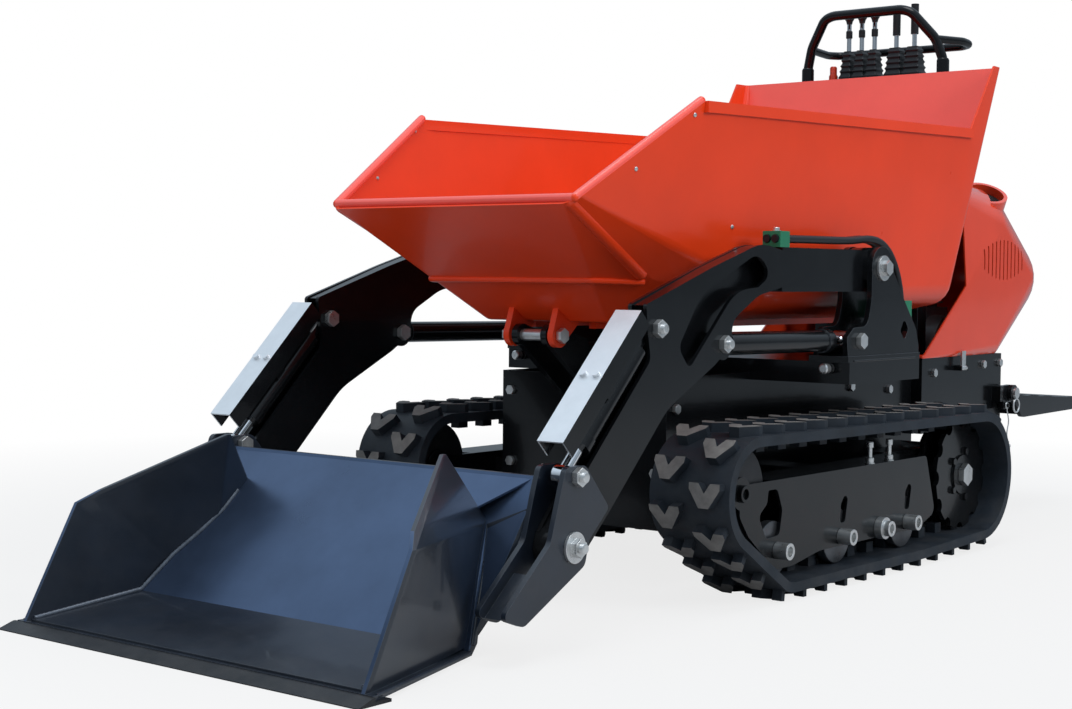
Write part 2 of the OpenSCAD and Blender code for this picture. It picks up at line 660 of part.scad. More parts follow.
module dump_barrel() color(black) difference() {
  union() {
    rod(dump_low, 24, -dump_ear + gap, dump_ear - gap);
    stage(dump_low, dump_high, 30, dump_len - 26, dump_r, 0);
    stage(dump_low, dump_high, 10, 32, dump_ear - 2, 0);
  }
  rod(dump_low, pin_r + fit, -dump_ear, dump_ear);
  stage(dump_low, dump_high, 40, dump_len - 26 - gland, dump_r - barrel_wall, 0);
  stage(dump_low, dump_high, dump_len - 27 - gland, dump_len - 25, dump_r * rod_ratio + fit, 0);
}
module dump_rod() color(chrome) difference() {
  union() {
    rod(dump_high, 18, -eye_w / 2, eye_w / 2);
    stage(dump_low, dump_high, 42, dump_len - 12, dump_r * rod_ratio, 0);
    stage(dump_low, dump_high, 42, 54, dump_r - barrel_wall - fit, 0);
  }
  rod(dump_high, skip_pin_r + fit, -eye_w, eye_w);
}

// Bucket: floor, upswept back and two folded side plates
heel = [-1178, 13];
lip_y = heel[0] - bucket_reach;
heel_hw = 338;
neck = [300, -1090, 208];
back_top = [377, -1051, 293];
side_peak = [269, -1167, 330];
fold_y = 147;
function pair(pts) = [for (p = pts) each [p, [-p[0], p[1], p[2]]]];
module bucket_shell() color(slate) {
  half = bucket_t / 2;
  lip = [bucket_hw - half, lip_y + edge_run, heel[1] - half];
  foot = [heel_hw, heel[0], heel[1] - half];
  shoulder = [bucket_hw - 26, lip_y + fold_y, 211];
  crest = [bucket_hw - 53, lip_y + fold_y + 33, 234];
  inner = [heel_hw - 16, heel[0] + 8, heel[1] + 8];
  sheet(pair([lip, foot]), bucket_t);
  sheet(pair([foot, [heel_hw, heel[0] + 14, heel[1] + 14], [316, -1130, 120], neck]), bucket_t);
  sheet(pair([neck, [back_top[0], -1075, 240], back_top]), bucket_t);
  both() {
    sheet([lip - [18, 0, 0], shoulder, inner], bucket_t);
    sheet([inner, shoulder, crest, side_peak, neck - [7, 0, -6]], bucket_t);
    sheet([neck + [4, 0, -8], [back_top[0], -1076, 236], [back_top[0], -1090, 150], [heel_hw - 2, -1158,
      40]], bucket_t);
  }
}
edge_t = 12;
edge_run = 40;
module bucket_edge() color(iron) difference() {
  slab([-bucket_hw - 5, lip_y, 0], [bucket_hw + 5, lip_y + 70, edge_t]);
  translate([0, lip_y, 2]) rotate([18, 0, 0]) translate([-bucket_hw - 10, -30,
    0]) cube([2 * bucket_hw + 20, 62, 40]);
  slab([-bucket_hw - 10, lip_y + edge_run - bucket_t / 2 - gap / 2, heel[1] - bucket_t],
    [bucket_hw + 10, lip_y + 80, edge_t + gap]);
}
bracket_x = [381, 391, 436, 446];
bracket_outline = [[-1058, 316, 14], [-1004, 316, 18], [-936, 238, 8], [-992, 188, 12], [-1003, 146, 20],
  [-1166, 64, 20], [-1222, 84, 10], [-1098, 192, 30]];
module bucket_brackets() color(slate) both() difference() {
  union() {
    for (i = [0, 2]) prism(bracket_x[i], bracket_x[i + 1], rounded(bracket_outline));
    prism(bracket_x[1] - gap, bracket_x[2] + gap, [[-1169, 78], [-1200, 78], [-1125, 142], [-1100, 120]]);
  }
  rod(bucket_pivot, bucket_pin_r + fit, bracket_x[0] - gap, bracket_x[3] + gap);
}
module bucket_pins() color(zinc) both() {
  rod(bucket_pivot, bucket_pin_r, bracket_x[0] - gap, bracket_x[3] + gap);
  big_bolt(bucket_pivot, bracket_x[0], bracket_x[3], washer_r);
  hex(tilt_low, head_r, bracket_x[3], bracket_x[3] + head_h);
  hex(tilt_low, head_r, bracket_x[0] - head_h, bracket_x[0]);
}

// Skip: bent sheet body, open at the top, with a rolled rim, floor ribs and hinge lugs
skip_lug = [50, 64];
skip_pin_r = 10;
skip_ear = [16, 28];
skip_ear_r = 18;
skip_rim = [[292, -848, 776], [363, -535, 970], [360, 628, 998], [360, 742, 1160], [360, 784, 1160]];
skip_low = [
  [250, -556, 648, 26], [148, -548, 566, 24], [180, 520, 566, 24], [280, -250, 622, 60], [278, 580, 632, 62]
];
flare = [[8, -55, 24], [5, -20, 60], [5, 14, 60], [5, 14, 60], [5, 14, 60]];
module skip_body(t) hull() for (s = [-1, 1]) {
  for (i = [0:len(skip_rim) - 1]) {
    p = skip_rim[i] + flare[i];
    translate([s * p[0], p[1], p[2]]) sphere(rim_r - t, $fn = 16);
  }
  for (q = skip_low) translate([s * q[0], q[1], q[2]]) sphere(q[3] - t, $fn = 24);
}
skip_floor = skip_low[1][2] - skip_low[1][3];
rib_xs = [70, 130];
rib_w = 16;
rib_h = 14;
skip_cut = concat([[-1200, 558]], [for (i = [0:3]) [skip_rim[i][1], skip_rim[i][2]]],
  [[1000, skip_rim[3][2]], [1000, 1500], [-1200, 1500]]);
// Rolled bar round the lip, square band along the sides, rib across the front and bands down its corners
lip_bar = [[360, -538, 970], [300, -852, 775]];
lip_path = concat(lip_bar, [for (i = [len(lip_bar) - 1:-1:0]) [-lip_bar[i][0], lip_bar[i][1],
  lip_bar[i][2]]]);
band_x = [362, 376];
band_h = 22;
front_rib = [[-613, 650], [-590, 638], [-560, 650], [-590, 672]];
front_rib_hw = 262;
corner_band = [[288, -850, 770], [258, -588, 642]];
corner_r = 14;
module skip_ribs() {
  prism(-front_rib_hw, front_rib_hw, front_rib);
  both() hull() for (p = corner_band) translate(p) sphere(corner_r, $fn = 16);
}
module skip_rims() {
  for (i = [0:len(lip_path) - 2]) hull() for (p = [lip_path[i], lip_path[i + 1]])
    translate(p) sphere(rim_r - elbow * (i % 2), $fn = 12);
  both() prism(band_x[0], band_x[1], [for (q = [[1, 1], [2, 1], [2, 0], [1, 0]])
    [skip_rim[q[0]][1], skip_rim[q[0]][2] - band_h * q[1]]]);
}
module skip() color(red) {
  difference() {
    union() {
      skip_body(0);
      skip_ribs();
    }
    skip_body(skip_t);
    prism(-out_hw, out_hw, skip_cut);
  }
  skip_rims();
  both() for (x = rib_xs) slab([x, -500, skip_floor - rib_h], [x + rib_w, 500, skip_floor + skip_t - gap]);
  difference() {
    both() {
      prism(skip_lug[0], skip_lug[1], [[skip_hinge[0] - 23, skip_hinge[1] + 6], [-577, 620], [-520,
        skip_floor + 3],
        [skip_hinge[0] + 22, skip_hinge[1] - 9]]);
      rod(skip_hinge, hinge_ear + 2, skip_lug[0], skip_lug[1]);
    }
    rod(skip_hinge, pin_r + fit, -skip_lug[1] - gap, skip_lug[1] + gap);
  }
  both() {
    prism(skip_ear[0], skip_ear[1], [[dump_high[0] - 30, skip_floor + 3], [dump_high[0] + 30,
      skip_floor + 3],
      [dump_high[0] + skip_ear_r, dump_high[1]], [dump_high[0] - skip_ear_r, dump_high[1]]]);
    rod(dump_high, skip_ear_r, skip_ear[0], skip_ear[1]);
  }
  rod(dump_high, skip_pin_r, -skip_ear[0] - gap, skip_ear[0] + gap);
}

// Engine end
hood_pts = [
  [6, rear_y0 - 8, 440], [46, rear_y1 - 43, 470], [122, rear_y1 + 157, 640], [122, rear_y1 - 20, 766],
  [70, rear_y0 + 260, 820]
];
hood_in = [0, 0, 0, 0, 20];
module hood_body(t) hull() for (s = [-1, 1]) for (i = [0:len(hood_pts) - 1]) {
  q = hood_pts[i];
  translate([s * (hood_hw - q[0] - hood_in[i]), q[1], q[2]]) sphere(q[0] - t, $fn = 32);
}
hood_front = [for (q = [[-140, 430], [-8, 446], [224, 618], [244, 900], [244, 1000], [-140, 1000]])
  [rear_y0 + q[0], q[1]]];
hood_z0 = rear_z[1] + gap / 2;
louvre_at = [rear_y1 - 17, 687];
louvre_hl = 118;
louvre_w = 6;
louvre_tall = 53;
inlet_at = [192, rear_y1 - 13, 848];
inlet_dir = [0.42, -0.3, 0.857];
inlet_r = [58, 48];
inlet_out = 22;
inlet_in = 40;
knuckle_x = [128, 148];
module inlet(r, out) bar(inlet_at - inlet_in * inlet_dir, inlet_at + out * inlet_dir, r);
module engine_hood() color(red) {
  difference() {
    union() {
      hood_body(0);
      inlet(inlet_r[0], inlet_out);
    }
    difference() {
      hood_body(hood_t);
      inlet(inlet_r[0], inlet_out);
    }
    inlet(inlet_r[1], inlet_out + gap);
    prism(-hood_hw, hood_hw, hood_front);
    slab([-hood_hw, rear_y0 - hood_hw, rear_z[0]], [hood_hw, rear_y1 + 2 * hood_hw, hood_z0]);
    for (k = [0:louvre_n - 1]) {
      u = 2 * k / (louvre_n - 1) - 1;
      tall = louvre_tall * (1 - u * u / 2);
      translate([0, louvre_at[0] + u * louvre_hl, louvre_at[1]])
        cube([2 * hood_hw, louvre_w, 2 * tall], center = true);
    }
  }
  both() difference() {
    prism(knuckle_x[0], knuckle_x[1], [[hood_hinge[0] - 8, hood_hinge[1] - 6], [hood_hinge[0] + 8,
      hood_hinge[1] - 6],
      [hood_hinge[0] + 8, hood_hinge[1] + 20], [hood_hinge[0] - 8, hood_hinge[1] + 14]]);
    rod(hood_hinge, hood_pin_r + fit, knuckle_x[0] - gap, knuckle_x[1] + gap);
  }
}
module hood_latch() difference() {
  union() {
    rod_y([latch_x, latch_y - latch_hl, latch_z], latch_pin + 3, 2 * latch_hl);
    slab([latch_x - 2.5, latch_y - 11, latch_z], [latch_x + 2.5, latch_y + 11, latch_z + 44]);
  }
  rod_y([latch_x, latch_y - latch_hl - gap, latch_z], latch_pin + fit, 2 * latch_hl + 2 * gap);
}
engine_y = rear_y1 - 125;
fin_n = 7;
fin_step = 16;
module engine() color(iron) {
  both() for (y = [engine_y - 70, engine_y + 70]) slab([70, y - 8, bay_floor], [110, y + 8,
    bay_floor + 44]);
  slab([-150, engine_y - 80, bay_floor + 42], [150, engine_y + 80, bay_floor + 72]);
  slab([-110, engine_y - 75, bay_floor + 70], [110, engine_y + 75, 560]);
  slab([-85, engine_y - 65, 558], [85, engine_y + 65, 690]);
  for (k = [0:fin_n - 1])
    slab([-98, engine_y - 75, 570 + fin_step * k], [98, engine_y + 73, 576 + fin_step * k]);
  rod([engine_y, 440], 100, 108, 154);
  rod([engine_y, 420], 60, -170, -108);
  rod([engine_y + 100, 640], 42, -70, 80);
  slab([-30, engine_y + 60, 600], [20, engine_y + 110, 630]);
  translate([0, engine_y, 688]) cylinder(r = 40, h = 60);
}
module oil_tank() color(black) {
  slab([-200, rear_y0 + plate_t + 8, bay_floor], [200, rear_y0 + plate_t + 128, rear_z[1] - 2]);
  translate([120, rear_y0 + plate_t + 68, rear_z[1] - 3]) cylinder(r = 28, h = 22);
}
column_y = [rear_y0 + 160, rear_y0 + 208];
column_hw = 150;
column_t = 8;
shelf_z = 1112;
shelf_t = 8;
shelf_top = shelf_z + shelf_t;
shelf_hw = 220;
post_x = 197;
post_y = rear_y0 + 182;
pad_h = 8;
module control_column() color(black) {
  difference() {
    slab([-column_hw, column_y[0], bay_floor], [column_hw, column_y[1], shelf_z + gap]);
    slab([-column_hw + column_t, column_y[0] + column_t, bay_floor - gap],
      [column_hw - column_t, column_y[1] - column_t, shelf_z - column_t]);
  }
  slab([-shelf_hw, column_y[0] - 2, shelf_z], [shelf_hw, column_y[1] + 60, shelf_top]);
  both() slab([post_x - 22, post_y - 18, shelf_top - gap], [post_x + 22, post_y + 18, shelf_top + pad_h]);
}
lever_xs = [-100, -62, -24, 40, 92];
lever_y = rear_y0 + 230;
valve_top = shelf_top + 48;
lever_z = valve_top + 10;
lever_pin = 3;
lever_eye = 6;
lever_ear = [4.6, 8];
neck_r = 3.8;
module valve_bank() color(iron) {
  slab([-128, lever_y - boot_low[1], shelf_top], [120, lever_y + boot_low[1], valve_top]);
  for (x = lever_xs) {
    for (s = [-lever_ear[1], lever_ear[0]]) translate([x, 0, 0]) {
      slab([s, lever_y - lever_eye, valve_top - gap], [s + lever_ear[1] - lever_ear[0],
        lever_y + lever_eye, lever_z]);
      rod([lever_y, lever_z], lever_eye, s, s + lever_ear[1] - lever_ear[0]);
    }
    rod([lever_y, lever_z], lever_pin, x - lever_ear[0] - gap, x + lever_ear[0] + gap);
    rod_y([x, lever_y + 20, shelf_top + 20], 9, 14);
  }
}
// Boots: rectangular bellows, each pleat a frustum that closes towards the next
boot_low = [18, 24];
boot_high = [13, 16];
boot_h = 74;
pleat_in = 4.5;
pleat_flat = 0.35;
boot_bore = [10, 9, 18];
module pleat(lo, hi, h)
  linear_extrude(h, scale = [hi[0] / lo[0], hi[1] / lo[1]], slices = 1, $fn = 4) square(2 * lo,
    center = true);
module bellows() for (k = [0:boot_ribs - 1]) {
  w = boot_low + (boot_high - boot_low) * k / (boot_ribs - 1);
  step = boot_h / boot_ribs;
  translate([0, 0, k * step]) pleat(w, w, step * pleat_flat);
  translate([0, 0, (k + pleat_flat) * step]) pleat(w, w - pleat_in * [1, 1], step * (1 - pleat_flat));
}
module lever_boots() color(rubber) for (x = lever_xs) translate([x, lever_y, valve_top]) difference() {
  bellows();
  slab([-boot_bore[0], -boot_bore[1], -gap], boot_bore);
  translate([0, 0, gap]) cylinder(r = stem_r + elbow, h = boot_h);
}
stem_len = 140;
stem_top = lever_z + stem_len;
grip_r = 10;
knob = [[0, 0], [7, 0], [9, 8], [16, 20], [16, 28], [10, 34], [0, 34]];
module lever(x, tall) color(chrome) {
  difference() {
    union() {
      rod([lever_y, lever_z], lever_eye, x - lever_ear[0] + fit, x + lever_ear[0] - fit);
      translate([x, lever_y, lever_z + lever_pin + gap / 2]) cylinder(r = neck_r, h = lever_eye + gap);
      translate([x, lever_y, lever_z + lever_eye + gap]) cylinder(r = stem_r,
        h = stem_top - lever_z - lever_eye);
    }
    rod([lever_y, lever_z], lever_pin + fit, x - lever_eye, x + lever_eye);
  }
  if (tall) translate([x, lever_y, stem_top - 44]) cylinder(r = grip_r, h = 78);
  else translate([x, lever_y, stem_top - 4]) rotate_extrude() polygon(knob);
}
guard_foot = shelf_top + pad_h;
guard_half = [[post_x, post_y, guard_foot], [post_x, post_y, 1196], [180, post_y - 10, 1250],
  [126, post_y - 39, 1318], [100, post_y - 42, 1326]];
guard_front = concat([for (p = guard_half) [-p[0], p[1], p[2]]],
  [for (i = [len(guard_half) - 1:-1:0]) guard_half[i]]);
guard_rear = [for (q = [[-182, -10, 1246], [-180, 78, 1240], [-160, 108, 1240], [200, 108, 1240], [226,
  93, 1242],
  [222, 58, 1246], [182, -10, 1248]]) [q[0], post_y + q[1], q[2]]];
module handle_guard() color(black) {
  tube(guard_front, guard_r);
  tube(guard_rear, guard_r - 2);
}
step_arm_x = [step_lug_x + ear_t + gap / 2, step_lug_x + 2 * ear_t];
step_end = step_pivot[0] + step_len;
step_z = [296, 304];
step_y0 = rear_y1 + 80;
tread_skirt = 26;
tread_hole = [26, 32];
tread_pitch = [40, 50];
module footboard() color(black) difference() {
  union() {
    both() {
      prism(step_arm_x[0], step_arm_x[1], rounded([[step_pivot[0], step_pivot[1] - step_ear, 0],
        [step_y0 - 19, 264, 30],
        [step_end, 268, 6], [step_end, 300, 6], [step_y0 - 35, 324, 40], [step_pivot[0],
          step_pivot[1] + step_ear, 0]]));
      rod(step_pivot, step_ear, step_arm_x[0], step_arm_x[1]);
    }
    slab([-step_arm_x[0] - gap, step_y0, step_z[0]], [step_arm_x[0] + gap, step_end - gap,
      step_z[1] - gap]);
    for (y = [step_y0, step_end - 9]) slab([-step_arm_x[0] - gap, y, step_z[0] - tread_skirt],
      [step_arm_x[0] + gap, y + 8, step_z[1] - gap]);
  }
  both() rod(step_pivot, step_pin_r + fit, step_arm_x[0] - gap, step_arm_x[1] + gap);
  for (x = [-5.5:5.5]) for (y = [step_y0 + 30:tread_pitch[1]:step_end - 60])
    slab([x * tread_pitch[0] - tread_hole[0] / 2, y, step_z[0] - gap],
      [x * tread_pitch[0] + tread_hole[0] / 2, y + tread_hole[1], step_z[1] + gap]);
}
ring_r = 18;
wire_r = 2.5;
module footboard_pins() color(zinc) both() {
  rod(step_pivot, step_pin_r, step_lug_x - step_pin_in, step_arm_x[1] + step_pin_in);
  rod(step_pivot, step_pin_r + 5, step_arm_x[1] + gap / 2, step_arm_x[1] + 8);
  translate([step_arm_x[1] + 8 - wire_r, step_pivot[0],
    step_pivot[1] - step_pin_r - 5 - ring_r]) rotate([0, 90, 0])
    rotate_extrude() translate([ring_r, 0]) circle(wire_r);
}
eye_wire = 2.2;
cord_r = 1.5;
eye_ring = lanyard_pin_r + fit + eye_wire;
lanyard_x = step_lug_x + ear_t + 5;
pin_drop = 150;
module lanyard_pin() color(zinc) {
  top = [lanyard_x, lanyard_at[0], lanyard_at[1]];
  translate(top) rotate([0, 90, 0]) rotate_extrude() translate([eye_ring, 0]) circle(eye_wire);
  tube([top - [0, 0, eye_ring], top + [0, 14, -40], top + [0, 4, -72], top + [0, 12, -104]], cord_r);
  translate(top + [0, 12, -pin_drop]) cylinder(r = 7, h = 54);
}

chassis_frame();
arm_towers();
color(black) track_frame();  // track_frame_left
color(black) far_side() track_frame();  // track_frame_right
color(rubber) track_belt();  // track_belt_left
color(rubber) far_side() track_belt();  // track_belt_right
color(iron) sprocket();  // sprocket_left
color(iron) far_side() sprocket();  // sprocket_right
color(iron) idler();  // idler_left
color(iron) far_side() idler();  // idler_right
color(iron) road_roller(0);  // roller_front_left
color(iron) far_side() road_roller(0);  // roller_front_right
color(iron) road_roller(1);  // roller_middle_left
color(iron) far_side() road_roller(1);  // roller_middle_right
color(iron) road_roller(2);  // roller_rear_left
color(iron) far_side() road_roller(2);  // roller_rear_right
track_axles();
drive_motors();
pivot_pins();
chassis_bolts();
color(black) loader_arm();  // loader_arm_left
color(black) far_side() loader_arm();  // loader_arm_right
arm_pins();
arm_hose_clamps();
tower_hose_clamps();
arm_hoses();
color(black) lift_barrel();  // lift_barrel_left
color(black) far_side() lift_barrel();  // lift_barrel_right
color(chrome) lift_rod();  // lift_rod_left
color(chrome) far_side() lift_rod();  // lift_rod_right
color(black) tilt_barrel();  // tilt_barrel_left
color(black) far_side() tilt_barrel();  // tilt_barrel_right
color(chrome) tilt_rod();  // tilt_rod_left
color(chrome) far_side() tilt_rod();  // tilt_rod_right
color(zinc) tilt_cover();  // tilt_cover_left
color(zinc) far_side() tilt_cover();  // tilt_cover_right
bucket_shell();
bucket_edge();
bucket_brackets();
bucket_pins();
skip();
dump_barrel();
dump_rod();
engine_hood();
color(zinc) hood_latch();  // hood_latch_left
color(zinc) far_side() hood_latch();  // hood_latch_right
engine();
oil_tank();
control_column();
valve_bank();
lever_boots();
lever(lever_xs[0], false);  // lever_1
lever(lever_xs[1], false);  // lever_2
lever(lever_xs[2], false);  // lever_3
lever(lever_xs[3], true);  // lever_4
lever(lever_xs[4], true);  // lever_5
handle_guard();
footboard();
footboard_pins();
lanyard_pin();
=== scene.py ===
"""Looks of the tracked power carrier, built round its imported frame.

Metres. The front (bucket) is -Y, the left side is +X, up is +Z and the ground is z = 0.
"""
import json
import math

import bpy
from mathutils import Matrix, Vector


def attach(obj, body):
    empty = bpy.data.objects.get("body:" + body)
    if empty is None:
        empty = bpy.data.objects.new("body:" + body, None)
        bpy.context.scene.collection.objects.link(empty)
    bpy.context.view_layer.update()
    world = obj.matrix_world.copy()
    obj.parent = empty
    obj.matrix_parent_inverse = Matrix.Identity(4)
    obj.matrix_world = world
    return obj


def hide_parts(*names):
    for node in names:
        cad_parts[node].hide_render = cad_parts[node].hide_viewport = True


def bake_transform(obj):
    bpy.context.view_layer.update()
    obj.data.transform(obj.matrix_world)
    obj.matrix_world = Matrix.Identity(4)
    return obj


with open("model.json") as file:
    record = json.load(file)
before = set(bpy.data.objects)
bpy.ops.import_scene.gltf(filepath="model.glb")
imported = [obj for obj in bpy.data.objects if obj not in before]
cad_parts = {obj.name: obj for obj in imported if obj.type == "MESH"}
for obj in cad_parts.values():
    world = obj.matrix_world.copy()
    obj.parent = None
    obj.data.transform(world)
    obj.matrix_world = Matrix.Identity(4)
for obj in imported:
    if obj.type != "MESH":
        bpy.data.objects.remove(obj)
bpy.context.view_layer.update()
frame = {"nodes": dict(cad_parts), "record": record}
MM = 0.001
SIDES = ((1, "left"), (-1, "right"))
BODY = {n: b for b, ns in frame["record"]["behaviour"]["bodies"].items() for n in ns}
SLOT = {s["node"]: s["material_slot"] for s in frame["record"]["subparts"]}


# ---------------------------------------------------------------- camera, floor and light
def photo_camera():
    eye = Vector((2.23797, -3.37425, 0.63504))
    turn, pitch, roll = (math.radians(a) for a in (38.74, 2.56, 0.51))
    ahead = Vector((-math.sin(turn) * math.cos(pitch), math.cos(turn) * math.cos(pitch), -math.sin(pitch)))
    side = Vector((math.cos(turn), math.sin(turn), 0))
    top = side.cross(ahead)
    right = side * math.cos(roll) + top * math.sin(roll)
    up = top * math.cos(roll) - side * math.sin(roll)
    lens = bpy.data.cameras.new("photo_camera")
    lens.lens, lens.sensor_width = 59.37, 36
    lens.clip_start, lens.clip_end = 0.05, 200
    camera = bpy.data.objects.new("photo_camera", lens)
    camera.matrix_world = Matrix.Translation(eye) @ Matrix((right, up, -ahead)).transposed().to_4x4()
    bpy.context.collection.objects.link(camera)
    bpy.context.scene.camera = camera


def nodes_of(name):
    """A new material, its node tree, its shader and a maker of linked nodes."""
    paint = bpy.data.materials.new(name)
    paint.use_nodes = True
    tree = paint.node_tree

    def add(kind, **inputs):
        node = tree.nodes.new(kind)
        for key, value in inputs.items():
            if key in node.bl_rna.properties:
                setattr(node, key, value)
                continue
            socket = node.inputs[key.replace("_", " ")]
            if isinstance(value, bpy.types.NodeSocket):
                tree.links.new(value, socket)
            else:
                socket.default_value = value
        return node

    return paint, tree, tree.nodes["Principled BSDF"], add


def pale_floor():
    """A grey floor for light and reflections, which the camera sees fading to white."""
    paint, tree, shader, add = nodes_of("pale_floor")
    place = add("ShaderNodeTexCoord").outputs["Object"]
    reach = add("ShaderNodeVectorMath", operation="LENGTH")
    tree.links.new(place, reach.inputs[0])
    far = add("ShaderNodeMapRange", From_Min=1.5, From_Max=3.4, To_Min=0.8)
    tree.links.new(reach.outputs["Value"], far.inputs["Value"])
    shader.inputs["Base Color"].default_value = (0.42, 0.42, 0.42, 1)
    shader.inputs["Roughness"].default_value = 0.75
    shader.inputs["Specular IOR Level"].default_value = 0.2
    white = add("ShaderNodeEmission", Strength=1.0)
    seen = add("ShaderNodeLightPath").outputs["Is Camera Ray"]
    share = add("ShaderNodeMath", operation="MULTIPLY")
    tree.links.new(far.outputs["Result"], share.inputs[0])
    tree.links.new(seen, share.inputs[1])
    mix = add("ShaderNodeMixShader")
    tree.links.new(share.outputs[0], mix.inputs[0])
    tree.links.new(shader.outputs[0], mix.inputs[1])
    tree.links.new(white.outputs[0], mix.inputs[2])
    tree.links.new(mix.outputs[0], tree.nodes["Material Output"].inputs["Surface"])
    bpy.ops.mesh.primitive_grid_add(x_subdivisions=8, y_subdivisions=8, size=80)
    floor = bpy.context.object
    floor.name = "floor"
    floor.data.materials.append(paint)


def sky():
    """Soft studio sky: brightest overhead, dim at the horizon, plain white where the camera looks past the part."""
    world = bpy.data.worlds.new("studio")
    bpy.context.scene.world = world
    world.use_nodes = True
    tree = world.node_tree
    back = tree.nodes["Background"]
    place = tree.nodes.new("ShaderNodeTexCoord")
    height = tree.nodes.new("ShaderNodeSeparateXYZ")
    tree.links.new(place.outputs["Generated"], height.inputs[0])
    dome = tree.nodes.new("ShaderNodeMapRange")
    for key, value in (("From Min", 0.0), ("From Max", 0.85), ("To Min", 0.2), ("To Max", 1.0)):
        dome.inputs[key].default_value = value
    tree.links.new(height.outputs["Z"], dome.inputs["Value"])
    level = tree.nodes.new("ShaderNodeMath")
    level.operation = "MAXIMUM"
    path = tree.nodes.new("ShaderNodeLightPath")
    tree.links.new(dome.outputs["Result"], level.inputs[0])
    tree.links.new(path.outputs["Is Camera Ray"], level.inputs[1])
    tree.links.new(level.outputs[0], back.inputs["Strength"])
    hue = tree.nodes.new("ShaderNodeMix")
    hue.data_type = "RGBA"
    hue.inputs[6].default_value = (0.72, 0.86, 1, 1)
    hue.inputs[7].default_value = (1, 1, 1, 1)
    tree.links.new(path.outputs["Is Camera Ray"], hue.inputs["Factor"])
    tree.links.new(hue.outputs[2], back.inputs["Color"])


def lamp(name, place, aim, size, power, mirrored=False):
    light = bpy.data.lights.new(name, "AREA")
    light.shape, light.size, light.energy = "DISK", size, power
    ob = bpy.data.objects.new(name, light)
    ob.location = place
    ob.rotation_euler = (Vector(aim) - Vector(place)).to_track_quat("-Z", "Y").to_euler()
    ob.visible_glossy = mirrored
    bpy.context.collection.objects.link(ob)


photo_camera()
pale_floor()
sky()
lamp("sky_lamp", (0.9, -1.0, 5.2), (0, -0.2, 0.4), 3.0, 95, mirrored=True)
lamp("side_lamp", (5.0, 0.4, 3.0), (0, 0.1, 0.5), 2.2, 150)
lamp("front_lamp", (0.6, -5.6, 2.2), (0, -0.6, 0.4), 2.0, 60)
bpy.context.scene.view_settings.view_transform = "Standard"


# ---------------------------------------------------------------- finishes
DUST = (0.23, 0.2, 0.17, 1)


def finish(name, colour, rough, metal=0.0, coat=0.0, tint=0.12, patch=6.0, grain=420.0, relief=0.05,
           spread=0.12, dust=0.0, specular=0.5):
    """A finish: colour and gloss that drift over the piece, a fine grain in the relief, dust low down."""
    paint, tree, shader, add = nodes_of(name)
    place = add("ShaderNodeTexCoord").outputs["Object"]
    drift = add("ShaderNodeTexNoise", Vector=place, Scale=patch, Detail=5.0, Roughness=0.6).outputs["Fac"]
    shade = add("ShaderNodeValToRGB", Fac=drift)
    low, high = shade.color_ramp.elements
    low.position, high.position = 0.3, 0.72
    low.color = tuple(c * (1 - tint) for c in colour) + (1,)
    high.color = tuple(min(1, c * (1 + tint)) for c in colour) + (1,)
    tone = shade.outputs["Color"]
    fine = add("ShaderNodeTexNoise", Vector=place, Scale=grain, Detail=3.0).outputs["Fac"]
    gloss = add("ShaderNodeMapRange", Value=drift, To_Min=max(0.02, rough - spread / 2), To_Max=rough + spread / 2)
    if dust:
        height = add("ShaderNodeSeparateXYZ", Vector=place).outputs["Z"]
        low_down = add("ShaderNodeMapRange", Value=height, From_Min=0.0, From_Max=0.42, To_Min=1.0, To_Max=0.12)
        cloud = add("ShaderNodeTexNoise", Vector=place, Scale=14.0, Detail=6.0, Roughness=0.7).outputs["Fac"]
        spots = add("ShaderNodeMapRange", Value=cloud, From_Min=0.42, From_Max=0.75, To_Max=dust).outputs["Result"]
        cover = add("ShaderNodeMath", operation="MULTIPLY")
        tree.links.new(low_down.outputs["Result"], cover.inputs[0])
        tree.links.new(spots, cover.inputs[1])
        mixed = add("ShaderNodeMix", data_type="RGBA")
        tree.links.new(cover.outputs[0], mixed.inputs["Factor"])
        tree.links.new(tone, mixed.inputs[6])
        mixed.inputs[7].default_value = DUST
        tone = mixed.outputs[2]
    tree.links.new(tone, shader.inputs["Base Color"])
    tree.links.new(gloss.outputs["Result"], shader.inputs["Roughness"])
    shader.inputs["Metallic"].default_value = metal
    shader.inputs["Specular IOR Level"].default_value = specular
    shader.inputs["Coat Weight"].default_value = coat
    shader.inputs["Coat Roughness"].default_value = 0.06
    bump = add("ShaderNodeBump", Height=fine, Strength=relief, Distance=0.001)
    tree.links.new(bump.outputs["Normal"], shader.inputs["Normal"])
    return paint


